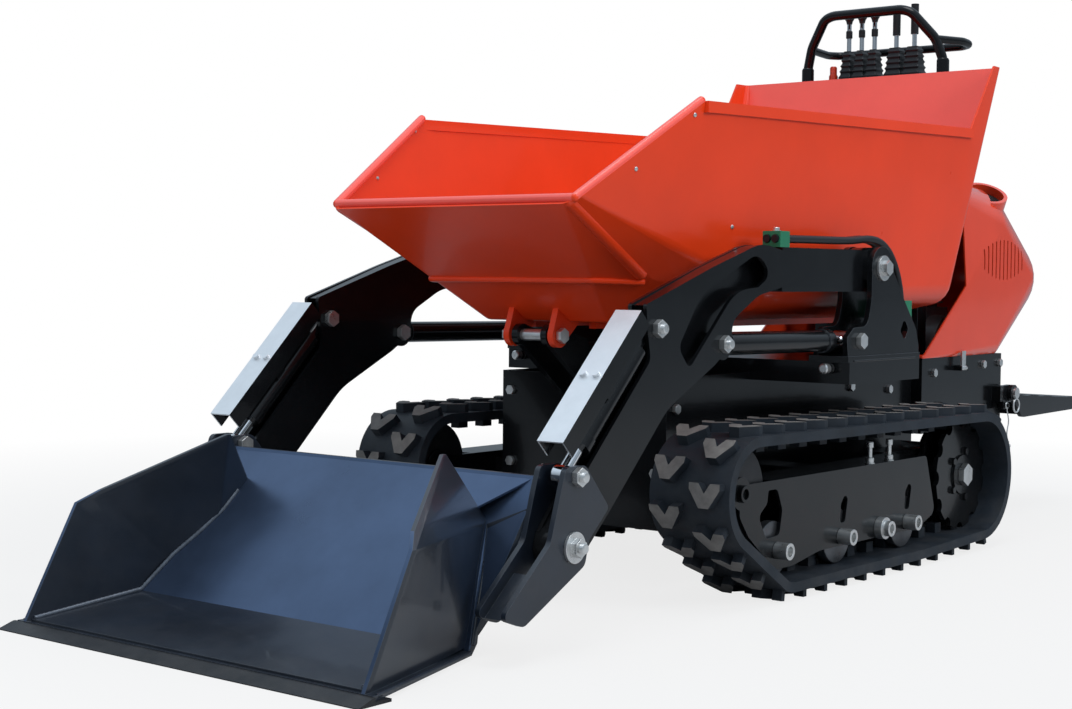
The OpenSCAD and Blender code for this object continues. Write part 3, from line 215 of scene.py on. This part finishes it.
FINISH = {
    "black_paint": finish("black_paint", (0.0035, 0.004, 0.0048), 0.2, coat=0.16, tint=0.3, relief=0.04, dust=0.03,
                          specular=0.25),
    "red_paint": finish("red_paint", (0.72, 0.045, 0.008), 0.3, coat=0.14, tint=0.05, grain=260.0, specular=0.3),
    "red_plastic": finish("red_plastic", (0.68, 0.047, 0.012), 0.18, coat=0.5, tint=0.05, relief=0.02, grain=300.0,
                          spread=0.08),
    "slate_paint": finish("slate_paint", (0.0075, 0.0115, 0.0195), 0.32, coat=0.3, tint=0.25, patch=9.0, spread=0.18,
                          dust=0.04, specular=0.55),
    "zinc": finish("zinc", (0.7, 0.7, 0.69), 0.3, metal=0.9, tint=0.15, patch=40.0, spread=0.2),
    "galvanised": finish("galvanised", (0.78, 0.8, 0.82), 0.4, metal=0.75, tint=0.04, patch=30.0, spread=0.06,
                         relief=0.03),
    "chrome": finish("chrome", (0.8, 0.81, 0.83), 0.08, metal=1.0, tint=0.04, relief=0.01, spread=0.05),
    "track_rubber": finish("track_rubber", (0.0115, 0.016, 0.0225), 0.58, tint=0.3, patch=18.0, grain=600.0,
                           relief=0.3, dust=0.1, specular=0.35),
    "hose_rubber": finish("hose_rubber", (0.0085, 0.009, 0.011), 0.45, tint=0.2, relief=0.12, specular=0.4),
    "green_plastic": finish("green_plastic", (0.012, 0.15, 0.075), 0.5, relief=0.1),
    "black_plastic": finish("black_plastic", (0.009, 0.009, 0.01), 0.4, tint=0.15, relief=0.12),
    "iron": finish("iron", (0.02, 0.021, 0.024), 0.42, metal=0.5, tint=0.3, patch=20.0, relief=0.3, dust=0.12),
    "engine_metal": finish("engine_metal", (0.3, 0.31, 0.32), 0.45, metal=0.9, relief=0.25),
}
WORN_LUG = finish("worn_lug", (0.16, 0.15, 0.142), 0.82, tint=0.22, patch=45.0, grain=700.0, relief=0.35,
                  specular=0.25)
ROLLER_RIM = finish("roller_rim", (0.11, 0.115, 0.125), 0.3, metal=0.8, tint=0.3, patch=25.0, relief=0.2, dust=0.1)
WELD = finish("weld_bead", (0.085, 0.1, 0.125), 0.4, metal=0.3, tint=0.3, patch=120.0, relief=0.4)
# A paler red, put on the skip's rear wall and rim facets as a painted highlight of the sky.
RED_PAINTED_HIGHLIGHT = finish("red_painted_highlight", (0.8, 0.1, 0.075), 0.3, coat=0.2, tint=0.05, grain=260.0, specular=0.4)
# Lighter finishes for the bevel faces of black and slate parts: part paint wear, part painted highlight along the
# edges.
EDGE_WEAR_AND_HIGHLIGHT = {
    "black_paint": finish("black_edge_wear_and_highlight", (0.05, 0.056, 0.066), 0.26, tint=0.4, patch=30.0, specular=0.7),
    "slate_paint": finish("slate_edge_wear_and_highlight", (0.045, 0.056, 0.074), 0.3, tint=0.4, patch=30.0, specular=0.6),
}
# A brighter blue metallic slate whose colour paints the sky's blue sheen on the bucket's back.
PAINTED_SHEEN_SLATE = finish("painted_sheen_slate", (0.085, 0.125, 0.21), 0.3, metal=0.85, tint=0.16, patch=5.0, spread=0.16)


# ---------------------------------------------------------------- bench tools
def only(piece):
    """Selects this piece alone."""
    if bpy.context.object and bpy.context.object.mode != "OBJECT":
        bpy.ops.object.mode_set(mode="OBJECT")
    bpy.ops.object.select_all(action="DESELECT")
    piece.select_set(True)
    bpy.context.view_layer.objects.active = piece


def apply_all(piece):
    only(piece)
    for modifier in list(piece.modifiers):
        bpy.ops.object.modifier_apply(modifier=modifier.name)


def soften(piece, width, angle=32, segments=2, edge_finish=-1):
    """Rounds the sharp edges a little, as paint and wear do, and keeps the flat faces flat in the shading."""
    rounding = piece.modifiers.new("rounding", "BEVEL")
    rounding.width, rounding.segments = width, segments
    rounding.limit_method, rounding.angle_limit = "ANGLE", math.radians(angle)
    rounding.use_clamp_overlap, rounding.material = True, edge_finish
    apply_all(piece)
    bpy.ops.object.shade_smooth_by_angle(angle=math.radians(angle + 8))
    piece.modifiers.new("flat_faces", "WEIGHTED_NORMAL").keep_sharp = True
    apply_all(piece)


def edit(piece):
    """Opens a piece for hand work with all of it selected."""
    only(piece)
    bpy.ops.object.mode_set(mode="EDIT")
    bpy.ops.mesh.select_all(action="SELECT")


def settle(piece, place):
    """Moves a piece made at the origin to its place, which then stays in its mesh."""
    piece.matrix_world = place
    only(piece)
    bpy.ops.object.transform_apply(location=True, rotation=True, scale=True)


def blank(name, half_x, half_y):
    """A flat rectangle at the origin for ring_up, its half sizes in millimetres."""
    bpy.ops.object.select_all(action="DESELECT")
    bpy.ops.mesh.primitive_plane_add(size=2)
    piece = bpy.context.object
    piece.name = name
    piece.scale = (half_x * MM, half_y * MM, 1)
    bpy.ops.object.transform_apply(location=True, rotation=True, scale=True)
    return piece


def ring_up(piece, rings):
    """Extrudes a flat blank upwards: each ring gives half sizes and height, as a lathe hand turns a profile."""
    edit(piece)
    (wide, deep, low), rest = rings[0], rings[1:]
    for w, d, z in rest:
        bpy.ops.mesh.extrude_region_move(TRANSFORM_OT_translate={"value": (0, 0, z - low)})
        bpy.ops.transform.resize(value=(w / wide, d / deep, 1), center_override=(0, 0, z))
        wide, deep, low = w, d, z
    bpy.ops.mesh.select_all(action="SELECT")
    bpy.ops.mesh.normals_make_consistent(inside=False)
    bpy.ops.object.mode_set(mode="OBJECT")


def turned(name, paint, rings, at, toward=(0, 0, 1), sides=24, width=0.5 * MM):
    """A turned piece: rings of (radius, height) in millimetres, stood at a point and pointed one way."""
    bpy.ops.object.select_all(action="DESELECT")
    bpy.ops.mesh.primitive_circle_add(vertices=sides, radius=rings[0][0] * MM, fill_type="NGON")
    piece = bpy.context.object
    piece.name = name
    ring_up(piece, [(r * MM, r * MM, z * MM) for r, z in rings])
    piece.data.materials.append(paint)
    settle(piece, Matrix.Translation(Vector(at) * MM) @ Vector(toward).to_track_quat("Z", "Y").to_matrix().to_4x4())
    soften(piece, width)
    return piece


def copied(piece, name, shift):
    """A copy with a mesh of its own, moved by millimetres."""
    twin = bpy.data.objects.new(name, piece.data.copy())
    twin.data.transform(Matrix.Translation(Vector(shift) * MM))
    bpy.context.collection.objects.link(twin)
    return twin


def bent(points, radius, steps=7):
    """A path with its corners bent round to a radius, all in millimetres."""
    points = [Vector(p) for p in points]
    path = [points[0]]
    for a, b, c in zip(points, points[1:], points[2:]):
        u, v = (a - b), (c - b)
        half = u.angle(v) / 2
        reach = min(radius / math.tan(half), 0.48 * u.length, 0.48 * v.length)
        p, q = b + u.normalized() * reach, b + v.normalized() * reach
        for k in range(steps + 1):
            t = k / steps
            path.append(p * (1 - t) ** 2 + b * 2 * t * (1 - t) + q * t ** 2)
    path.append(points[-1])
    return path


def piped(name, paint, path, radius, swell=None):
    """A round bar, pipe or bead along a path in millimetres, closed at both ends."""
    line = bpy.data.curves.new(name, "CURVE")
    line.dimensions, line.bevel_depth, line.bevel_resolution, line.use_fill_caps = "3D", radius * MM, 4, True
    spline = line.splines.new("POLY")
    spline.points.add(len(path) - 1)
    for k, p in enumerate(path):
        spline.points[k].co = (*(Vector(p) * MM), 1)
        spline.points[k].radius = swell[k] if swell else 1
    piece = bpy.data.objects.new(name, line)
    bpy.context.collection.objects.link(piece)
    only(piece)
    bpy.ops.object.convert(target="MESH")
    piece = bpy.context.object
    edit(piece)
    bpy.ops.mesh.remove_doubles(threshold=1e-6)
    bpy.ops.mesh.normals_make_consistent(inside=False)
    bpy.ops.object.mode_set(mode="OBJECT")
    bpy.ops.object.shade_smooth_by_angle(angle=math.radians(50))
    piece.data.materials.clear()
    piece.data.materials.append(paint)
    return piece


def spaced(path, step):
    """The same path with points at an even step."""
    path = [Vector(p) for p in path]
    out, left = [path[0]], step
    for a, b in zip(path, path[1:]):
        run = (b - a).length
        at = left
        while at < run:
            out.append(a.lerp(b, at / run))
            at += step
        left = at - run
    if (out[-1] - path[-1]).length > step / 3:
        out.append(path[-1])
    return out


def rides(piece, body, slot, *nodes):
    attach(piece, body)
    if nodes:
        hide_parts(*nodes)


def bead(name, paint, path, radius, body, slot):
    """A weld bead: a thin run with the small ripples of its passes."""
    path = spaced(path, 4.5)
    piece = piped(name, paint, path, radius, [1 - 0.14 * (k % 2) for k in range(len(path))])
    rides(piece, body, slot)


def cad_copy(node):
    """A merged copy of a node's mesh, with its flat faces whole again, ready for hand work."""
    piece = bpy.data.objects.new(node + "_dressed", frame["nodes"][node].data.copy())
    bpy.context.collection.objects.link(piece)
    piece.data.materials.clear()
    edit(piece)
    bpy.ops.mesh.remove_doubles(threshold=2e-5)
    bpy.ops.mesh.dissolve_limited(angle_limit=math.radians(0.4))
    bpy.ops.object.mode_set(mode="OBJECT")
    return piece


def stands_for(piece, *nodes):
    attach(piece, BODY[nodes[0]])
    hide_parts(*nodes)


def dress(node, width=1.2, pick=None, second=None, first=None, reshape=None):
    """A node's copy with its edges softened by millimetres; faces that pick chooses get a second finish, and the
    bevel faces of black and slate pieces a lighter one, part wear and part painted highlight.
    """
    piece = cad_copy(node)
    if reshape:
        reshape(piece)
    piece.data.materials.append(first or FINISH[SLOT[node]])
    if pick:
        piece.data.materials.append(second)
        for face in piece.data.polygons:
            face.material_index = int(pick(face))
    # Black and slate pieces get a lighter bevel finish: part wear, part painted highlight.
    edge_wear_and_highlight = EDGE_WEAR_AND_HIGHLIGHT.get(SLOT[node])
    if edge_wear_and_highlight:
        piece.data.materials.append(edge_wear_and_highlight)
    soften(piece, width * MM, edge_finish=len(piece.data.materials) - 1 if edge_wear_and_highlight else -1)
    stands_for(piece, node)


# ---------------------------------------------------------------- pieces made over the solids
EDGE = {
    "track_frame_left": 2.2, "track_frame_right": 2.2, "loader_arm_left": 2.0, "loader_arm_right": 2.0,
    "arm_towers": 1.0, "engine_hood": 2.0, "skip": 0.8, "bucket_shell": 1.0, "bucket_edge": 1.0, "chassis_bolts": 0.7,
    "footboard": 1.0, "valve_bank": 0.8, "control_column": 1.5, "tilt_cover_left": 1.4, "tilt_cover_right": 1.4,
    "sprocket_left": 1.5, "sprocket_right": 1.5, "track_belt_left": 2.5, "track_belt_right": 2.5,
}
MADE_NEW = {"arm_hoses", "lever_boots", "handle_guard", "lanyard_pin"}
LEVER_X, LEVER_Y = (-100, -62, -24, 40, 92), 870
GRIPPED = ("lever_4", "lever_5")
GRIP_FROM, KNOB_FROM = 1272, 1313       # heights in millimetres where grips and knobs begin
LUG_TOP_AREA = (0.0018, 0.0023)
MOTOR_NUT_FROM = 0.4242
IDLER_AXLE_BEFORE = -0.45
SCREW_AREA = 0.001
SKIP_RIM_FROM = 0.75
EAR_TIP_X, EAR_TIP_Y, EAR_TIP_Z = (0.049, 0.065), -0.577, 0.62
EAR_TIP_SHIFT = (0, 0.0174, -0.0688)


def above(height):
    return lambda face: face.center.z > height * MM


def lug_top(face):
    return len(face.vertices) >= 9 and LUG_TOP_AREA[0] < face.area < LUG_TOP_AREA[1]


def motor_nut(face):
    return abs(face.center.x) > MOTOR_NUT_FROM


def idler_axle(face):
    return face.center.y < IDLER_AXLE_BEFORE


def painted_sheen_back(face):
    """The leaning inside of the bucket's back, which gets the brighter blue slate as a painted sheen of the sky."""
    return face.normal.y < -0.45 and face.normal.z > 0.25


def cover_flange_painted_shade(face):
    """The cover's upright flanges, without the small faces of its screws; the black paint on them is painted shade.
    """
    return abs(face.normal.x) > 0.6 and face.area > SCREW_AREA


def painted_highlight_faces(face):
    """Faces of the skip that get a paler red as a painted highlight of the sky: the inside of the raised rear wall
    and the rim bars' long facets.
    """
    spots = [face.id_data.vertices[v].co for v in face.vertices]
    longest = max((a - b).length for a, b in zip(spots, spots[1:] + spots[:1]))
    rear_wall = face.normal.y < -0.7 and face.center.y > 0.25 and face.area > 0.02
    rim_facet = longest > 0.08 and face.area / longest < 0.005 and face.center.z > SKIP_RIM_FROM
    return rear_wall or rim_facet


def ear_tips_down(piece):
    """Presses the tips of the hinge ears flush with the inside of the skip's front panel."""
    edit(piece)
    bpy.ops.mesh.select_mode(type="VERT")
    bpy.ops.mesh.select_all(action="DESELECT")
    bpy.ops.object.mode_set(mode="OBJECT")
    for spot in piece.data.vertices:
        x, y, z = spot.co
        across = EAR_TIP_X[0] < abs(x) < EAR_TIP_X[1]
        spot.select = across and abs(y - EAR_TIP_Y) < MM and abs(z - EAR_TIP_Z) < MM
    bpy.ops.object.mode_set(mode="EDIT")
    bpy.ops.transform.translate(value=EAR_TIP_SHIFT)
    bpy.ops.object.mode_set(mode="OBJECT")


for node in sorted(frame["nodes"]):
    frame["nodes"][node].data.materials.clear()
    frame["nodes"][node].data.materials.append(FINISH[SLOT[node]])
    if node in MADE_NEW:
        continue
    if node.startswith("track_belt"):
        dress(node, EDGE[node], pick=lug_top, second=WORN_LUG)
    elif node.startswith("lever_"):
        dress(node, width=0.6, pick=above(GRIP_FROM if node in GRIPPED else KNOB_FROM),
              second=FINISH["black_plastic"], first=FINISH["chrome"])
    elif node == "drive_motors":
        dress(node, pick=motor_nut, second=FINISH["zinc"])
    elif node == "track_axles":
        dress(node, width=1.0, pick=idler_axle, second=FINISH["black_paint"])
    elif node.startswith("sprocket"):
        dress(node, EDGE[node], first=FINISH["black_paint"])
    elif node == "bucket_shell":
        # The inside of the bucket's back gets the brighter blue slate as a painted sheen.
        dress(node, EDGE[node], pick=painted_sheen_back, second=PAINTED_SHEEN_SLATE)
    elif node == "skip":
        # The skip's rear wall and rim facets get the paler red as a painted highlight.
        dress(node, EDGE[node], pick=painted_highlight_faces, second=RED_PAINTED_HIGHLIGHT, reshape=ear_tips_down)
    elif node.startswith("roller"):
        dress(node, width=2.0, first=ROLLER_RIM)
    elif node.startswith("tilt_cover"):
        # The galvanised covers' upright flanges get black paint as painted shade.
        dress(node, EDGE[node], pick=cover_flange_painted_shade, second=FINISH["black_paint"])
    else:
        dress(node, EDGE.get(node, 1.2))


# ---------------------------------------------------------------- hoses over the arm pivots
HOSE_X, HOSE_APART = 413, 9.5


def hose_line():
    """The hose's course, front to back, as a smooth line through its holds."""
    holds = [(-366, 712), (-330, 712), (-200, 713), (-60, 714), (20, 719), (75, 712), (118, 688), (150, 648),
             (168, 604), (172, 567), (174, 530), (180, 502), (190, 482), (196, 462)]
    holds = [Vector((0, y, z)) for y, z in holds]
    line = []
    for k in range(len(holds) - 1):
        a, b, c, d = (holds[min(max(k + j, 0), len(holds) - 1)] for j in (-1, 0, 1, 2))
        for m in range(4):
            t = m / 4
            line.append(0.5 * (2 * b + (c - a) * t + (2 * a - 5 * b + 4 * c - d) * t * t
                               + (3 * b - a - 3 * c + d) * t ** 3))
    return spaced(line + [holds[-1]], 20)


def hoses():
    line = hose_line()
    for side, word in SIDES:
        for k, off in enumerate((-HOSE_APART, HOSE_APART), 1):
            x = side * (HOSE_X + off)
            path = [p + Vector((x, 0, 0)) for p in line]
            hose = piped(f"arm_hose_{word}_{k}", FINISH["hose_rubber"], path, 8)
            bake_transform(hose)
            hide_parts("arm_hoses")


hoses()


# ---------------------------------------------------------------- levers, boots and guard
BOOT_FOOT, BOOT_TALL = 1168, 74


def boot(name, wide, deep):
    """One square bellows: five pleats with sharp lips that narrow towards the stem."""
    piece = blank(name, wide, deep)
    edit(piece)
    bpy.ops.mesh.bevel(offset=0.0035, segments=3, affect="VERTICES")
    bpy.ops.object.mode_set(mode="OBJECT")
    rings, pleats = [(wide, deep, 0)], 5
    step = BOOT_TALL / pleats
    for k in range(pleats):
        w, d = wide - 6 * k / (pleats - 1), deep - 8 * k / (pleats - 1)
        rings += [(w, d, (k + 0.3) * step), (w - 3.6, d - 3.6, (k + 0.72) * step),
                  (w - 4.2, d - 4.2, (k + 0.98) * step)]
    rings += [(9, 9, 73.5)]
    ring_up(piece, [(w * MM, d * MM, z * MM) for w, d, z in rings])
    piece.data.materials.append(FINISH["hose_rubber"])
    soften(piece, 0.6 * MM, 25)
    return piece


def boots():
    for n, x in enumerate(LEVER_X, 1):
        piece = boot(f"lever_boot_{n}", 18.6 if n < 4 else 25, 25)
        piece.data.transform(Matrix.Translation(Vector((x, LEVER_Y, BOOT_FOOT)) * MM))
        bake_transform(piece)
        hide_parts("lever_boots")


def lever_trim():
    """The collars and the knobs of levers 1 to 3."""
    collar = [(6.5, 0), (8.6, 1.5), (8.6, 19), (6.8, 21)]
    knob = [(6, 0), (7, 1.5), (7, 17), (11, 19), (12, 21), (12, 27), (10, 30), (5, 31)]
    for name, rings, height in (("lever_collar", collar, 1276), ("lever_knob", knob, 1316)):
        pattern = turned(name, FINISH["black_plastic"], rings, (0, 0, 0))
        for n in (1, 2, 3):
            piece = copied(pattern, f"{name}_{n}", (LEVER_X[n - 1], LEVER_Y, height))
            rides(piece, f"lever_{n}_body", "black_plastic")
        bpy.data.objects.remove(pattern)


def guard():
    """The bent tubes round the levers and the two sockets they stand in."""
    black = FINISH["black_paint"]
    half = [(197, 822, 1128), (197, 822, 1196), (180, 812, 1250), (126, 783, 1318), (100, 780, 1326)]
    front = [(-x, y, z) for x, y, z in half] + half[::-1]
    rear = [(-182, 812, 1246), (-180, 900, 1240), (-160, 930, 1240), (200, 930, 1240), (226, 915, 1242),
            (222, 880, 1246), (182, 812, 1248)]
    rides(piped("guard_front", black, bent(front, 70), 12.5), "carrier", "black_paint", "handle_guard")
    rides(piped("guard_rear", black, bent(rear, 34), 10.5), "carrier", "black_paint", "handle_guard")
    socket = turned("guard_socket", black, [(15, 0), (16, 1.2), (16, 66), (13.4, 71)], (0, 0, 0))
    x, y, z = half[0]
    for side, word in SIDES:
        rides(copied(socket, f"guard_socket_{word}", (side * x, y, z)), "carrier", "black_paint")
    bpy.data.objects.remove(socket)


def lanyard():
    """A split ring, a short cord and the pin that hangs on it."""
    top, ring_radius = Vector((275, 1080, 300)), 7.25
    bpy.ops.object.select_all(action="DESELECT")
    bpy.ops.mesh.primitive_torus_add(major_radius=ring_radius * MM, minor_radius=2.2 * MM, major_segments=32,
                                     minor_segments=10)
    ring = bpy.context.object
    ring.name = "lanyard_ring"
    settle(ring, Matrix.Translation(top * MM) @ Matrix.Rotation(math.pi / 2, 4, "Y"))
    bpy.ops.object.shade_smooth()
    ring.data.materials.append(FINISH["zinc"])
    pin_rings = [(4.4, 0), (6.2, 2.5), (6.2, 38), (7, 38.4), (7, 44), (5, 46), (3.2, 47), (3.2, 54)]
    pin = turned("lanyard_pin_body", FINISH["zinc"], pin_rings, top + Vector((0, 12, -150)))
    sway = [(0, -ring_radius), (3, -16), (9, -28), (13.5, -40), (12, -52), (7, -62), (4, -72), (4.5, -82), (8, -90),
            (12, -97)]
    path = spaced(bent([top + Vector((0, y, z)) for y, z in sway], 12), 4)
    cord = piped("lanyard_cord", FINISH["zinc"], path, 1.5)
    for piece in (ring, pin, cord):
        rides(piece, "lanyard", "zinc", "lanyard_pin")


boots()
lever_trim()
guard()
lanyard()


# ---------------------------------------------------------------- welds, fastener ends and fittings
LINER_HALF = 2.5        # half the liner's thickness in millimetres


def bucket_liner():
    """The folded sheet inside the bucket: its floor rises from the edge and its back leans to the top rim."""
    floor = [(411, 0), (384, 101), (365.5, 172), (357.5, 202.5)]
    back = [(357.5, 0), (338, 85), (311, 141), (290, 198), (287, 245), (289, 270), (372, 345)]
    # The liner's back sheet gets the brighter blue slate as a painted sheen.
    for name, rings, foot, (along, rise), paint in (
            ("bucket_liner_floor", floor, (0, -1500, 14.5), (200, 31.5), FINISH["slate_paint"]),
            ("bucket_liner_back", back, (0, -1300, 46), (244, 244), PAINTED_SHEEN_SLATE)):
        piece = blank(name, rings[0][0], LINER_HALF)
        ring_up(piece, [(half * MM, LINER_HALF * MM, z * MM) for half, z in rings])
        piece.data.materials.append(paint)
        settle(piece, Matrix.Translation(Vector(foot) * MM) @ Matrix.Rotation(-math.atan2(along, rise), 4, "X"))
        soften(piece, 0.8 * MM)
        rides(piece, "bucket", "slate_paint")


def bucket_welds():
    """Beads in the inner corners and at the brackets, the heel bars and the skids of the side plates."""
    slate = FINISH["slate_paint"]
    for side, word in SIDES:
        def at(*points):
            return [(side * x, y, z) for x, y, z in points]
        bead(f"bucket_weld_{word}", WELD, at((406, -1496, 19), (354, -1301, 51), (335, -1241, 111), (308, -1201, 151),
                                             (288, -1161, 191), (285, -1127, 225)), 4.2, "bucket", "slate_paint")
        bead(f"bucket_bar_{word}", slate, at((306, -1086, 206), (341, -1172, 22)), 5.0, "bucket", "slate_paint")
        bead(f"bucket_skid_{word}", slate, at((345, -1183, 11), (436, -1500, 11)), 4.5, "bucket", "slate_paint")
        bead(f"bracket_weld_{word}", WELD, at((379, -1060, 290), (379, -1090, 196), (379, -1160, 100)), 3.0, "bucket",
             "slate_paint")


def fastener_ends():
    """Threaded ends that stand out of the nuts, with rounded tips."""
    rings = [(9, 0)]
    for k in range(4):
        rings += [(9, 2 * k + 0.5), (8.1, 2 * k + 1), (8.1, 2 * k + 1.5), (9, 2 * k + 2)]
    tip = turned("bolt_end", FINISH["zinc"], rings + [(6.5, 9.5)], (0, 0, 0), (1, 0, 0), sides=16, width=0.2 * MM)
    pivots = (("tilt_high", 445, -780, 542, "loader_arms"), ("lift_high", 445, -562, 509, "loader_arms"),
              ("tilt_low", 457.5, -1027, 298, "bucket"), ("bucket", 463.5, -1036, 180, "bucket"))
    for word, x, y, z, body in pivots:
        end = copied(tip, f"bolt_end_{word}_left", (x, y, z))
        rides(end, body, "zinc")
        far = copied(end, f"bolt_end_{word}_right", (0, 0, 0))
        far.data.transform(Matrix.Scale(-1, 4, (1, 0, 0)))
        edit(far)
        bpy.ops.mesh.normals_make_consistent(inside=False)
        bpy.ops.object.mode_set(mode="OBJECT")
        rides(far, body, "zinc")
    bpy.data.objects.remove(tip)


def skip_studs():
    """Small round studs through the skip's walls, seen from inside and outside."""
    head = [(4.6, 0), (4.6, 1.2), (3.6, 2.6), (1.6, 3.2)]
    out = Vector((0.984, -0.09, -0.155))
    for k, (x, y, z) in enumerate(((362.6, -561.7, 941.5), (332.0, -708.8, 832.8), (344.8, -398.5, 734.3)), 1):
        for side, word in SIDES:
            way = Vector((side * out.x, out.y, out.z))
            spot = Vector((side * x, y, z))
            for kind, sunk, facing in (("skip_stud", 0.6, way), ("skip_stud_inner", 4.4, -way)):
                stud = turned(f"{kind}_{word}_{k}", FINISH["zinc"], head, spot - way * sunk, facing, 16, 0.2 * MM)
                rides(stud, "skip_body", "zinc")


def hydraulic_fittings():
    """Quick couplings in front of the outrigger, clamp bolts, the studs on the track frames and the relief cap."""
    zinc, ahead = FINISH["zinc"], (0, -1, 0)
    hose_end = [(11, -2), (11, 14), (9, 17), (9, 24)]
    sleeve = [(7, 20), (10.5, 21), (11, 23), (11, 30), (9.8, 31), (9.8, 34), (11, 35), (11, 50), (9, 52), (7, 53)]
    nut = [(9.5, 52), (10.5, 53.5), (10.5, 62), (9.5, 63.5), (5, 64), (5, 69)]
    bolt = [(9, -0.5), (9, 1.2), (6.4, 1.3), (6.8, 2), (6.8, 6), (5.8, 7)]
    stud = [(11, -0.5), (11, 2), (8.4, 2.1), (9, 3), (9, 12), (8.2, 13), (5, 13.2), (5, 34), (7.6, 34.4), (7.6, 46),
            (6, 48)]
    cap = [(11, -0.5), (12, 1), (12, 58), (9.5, 62), (9.5, 80), (7, 84)]
    for side, word in SIDES:
        spot = (side * HOSE_X, -118, 447)
        rides(turned(f"coupling_hose_{word}", FINISH["hose_rubber"], hose_end, spot, ahead), "carrier", "hose_rubber")
        rides(turned(f"coupling_sleeve_{word}", zinc, sleeve, spot, ahead), "carrier", "zinc")
        rides(turned(f"coupling_nut_{word}", zinc, nut, spot, ahead, sides=6), "carrier", "zinc")
        rides(turned(f"clamp_bolt_{word}", zinc, bolt, (side * HOSE_X, -343, 727), sides=12), "loader_arms", "zinc")
        for k, y in enumerate((40, 128), 1):
            rides(turned(f"frame_stud_{word}_{k}", zinc, stud, (side * 424, y, 236), sides=12), "carrier", "zinc")
    rides(turned("relief_cap", FINISH["red_plastic"], cap, (-144, 866, 1120)), "carrier", "red_plastic")


def inlet_shade_disc():
    """A black ringed disc down in the hood's air inlet, which paints the shade inside it."""
    rings = [(48.2, 0), (48.2, 3)]
    for r in (42, 33, 24, 15):
        rings += [(r, 3), (r - 1, 1.4), (r - 5, 1.4), (r - 6, 3)]
    along = Vector((0.42, -0.3, 0.857))
    spot = Vector((192, 1092, 848)) - along * 4
    shade_disc = turned("hood_inlet_shade_disc", FINISH["black_plastic"], rings + [(4, 4)], spot, along, 48, 0.3 * MM)
    rides(shade_disc, "hood", "black_plastic")


def skip_rib():
    """The stiffening bar across the front of the skip, welded over its fold."""
    rib = [(-256, -573, 624), (-206, -675, 627), (206, -675, 627), (256, -573, 624)]
    rides(piped("skip_front_rib", FINISH["red_paint"], bent(rib, 12), 7), "skip_body", "red_paint")


def tower_welds():
    """Beads along the feet of the arm towers."""
    for side, word in SIDES:
        for edge, x in (("outer", 456), ("inner", 370)):
            bead(f"tower_weld_{word}_{edge}", FINISH["black_paint"],
                 [(side * x, -100, 462.5), (side * x, 180, 462.5)], 3.4, "carrier", "black_paint")


bucket_liner()
bucket_welds()
fastener_ends()
skip_studs()
hydraulic_fittings()
inlet_shade_disc()
skip_rib()
tower_welds()
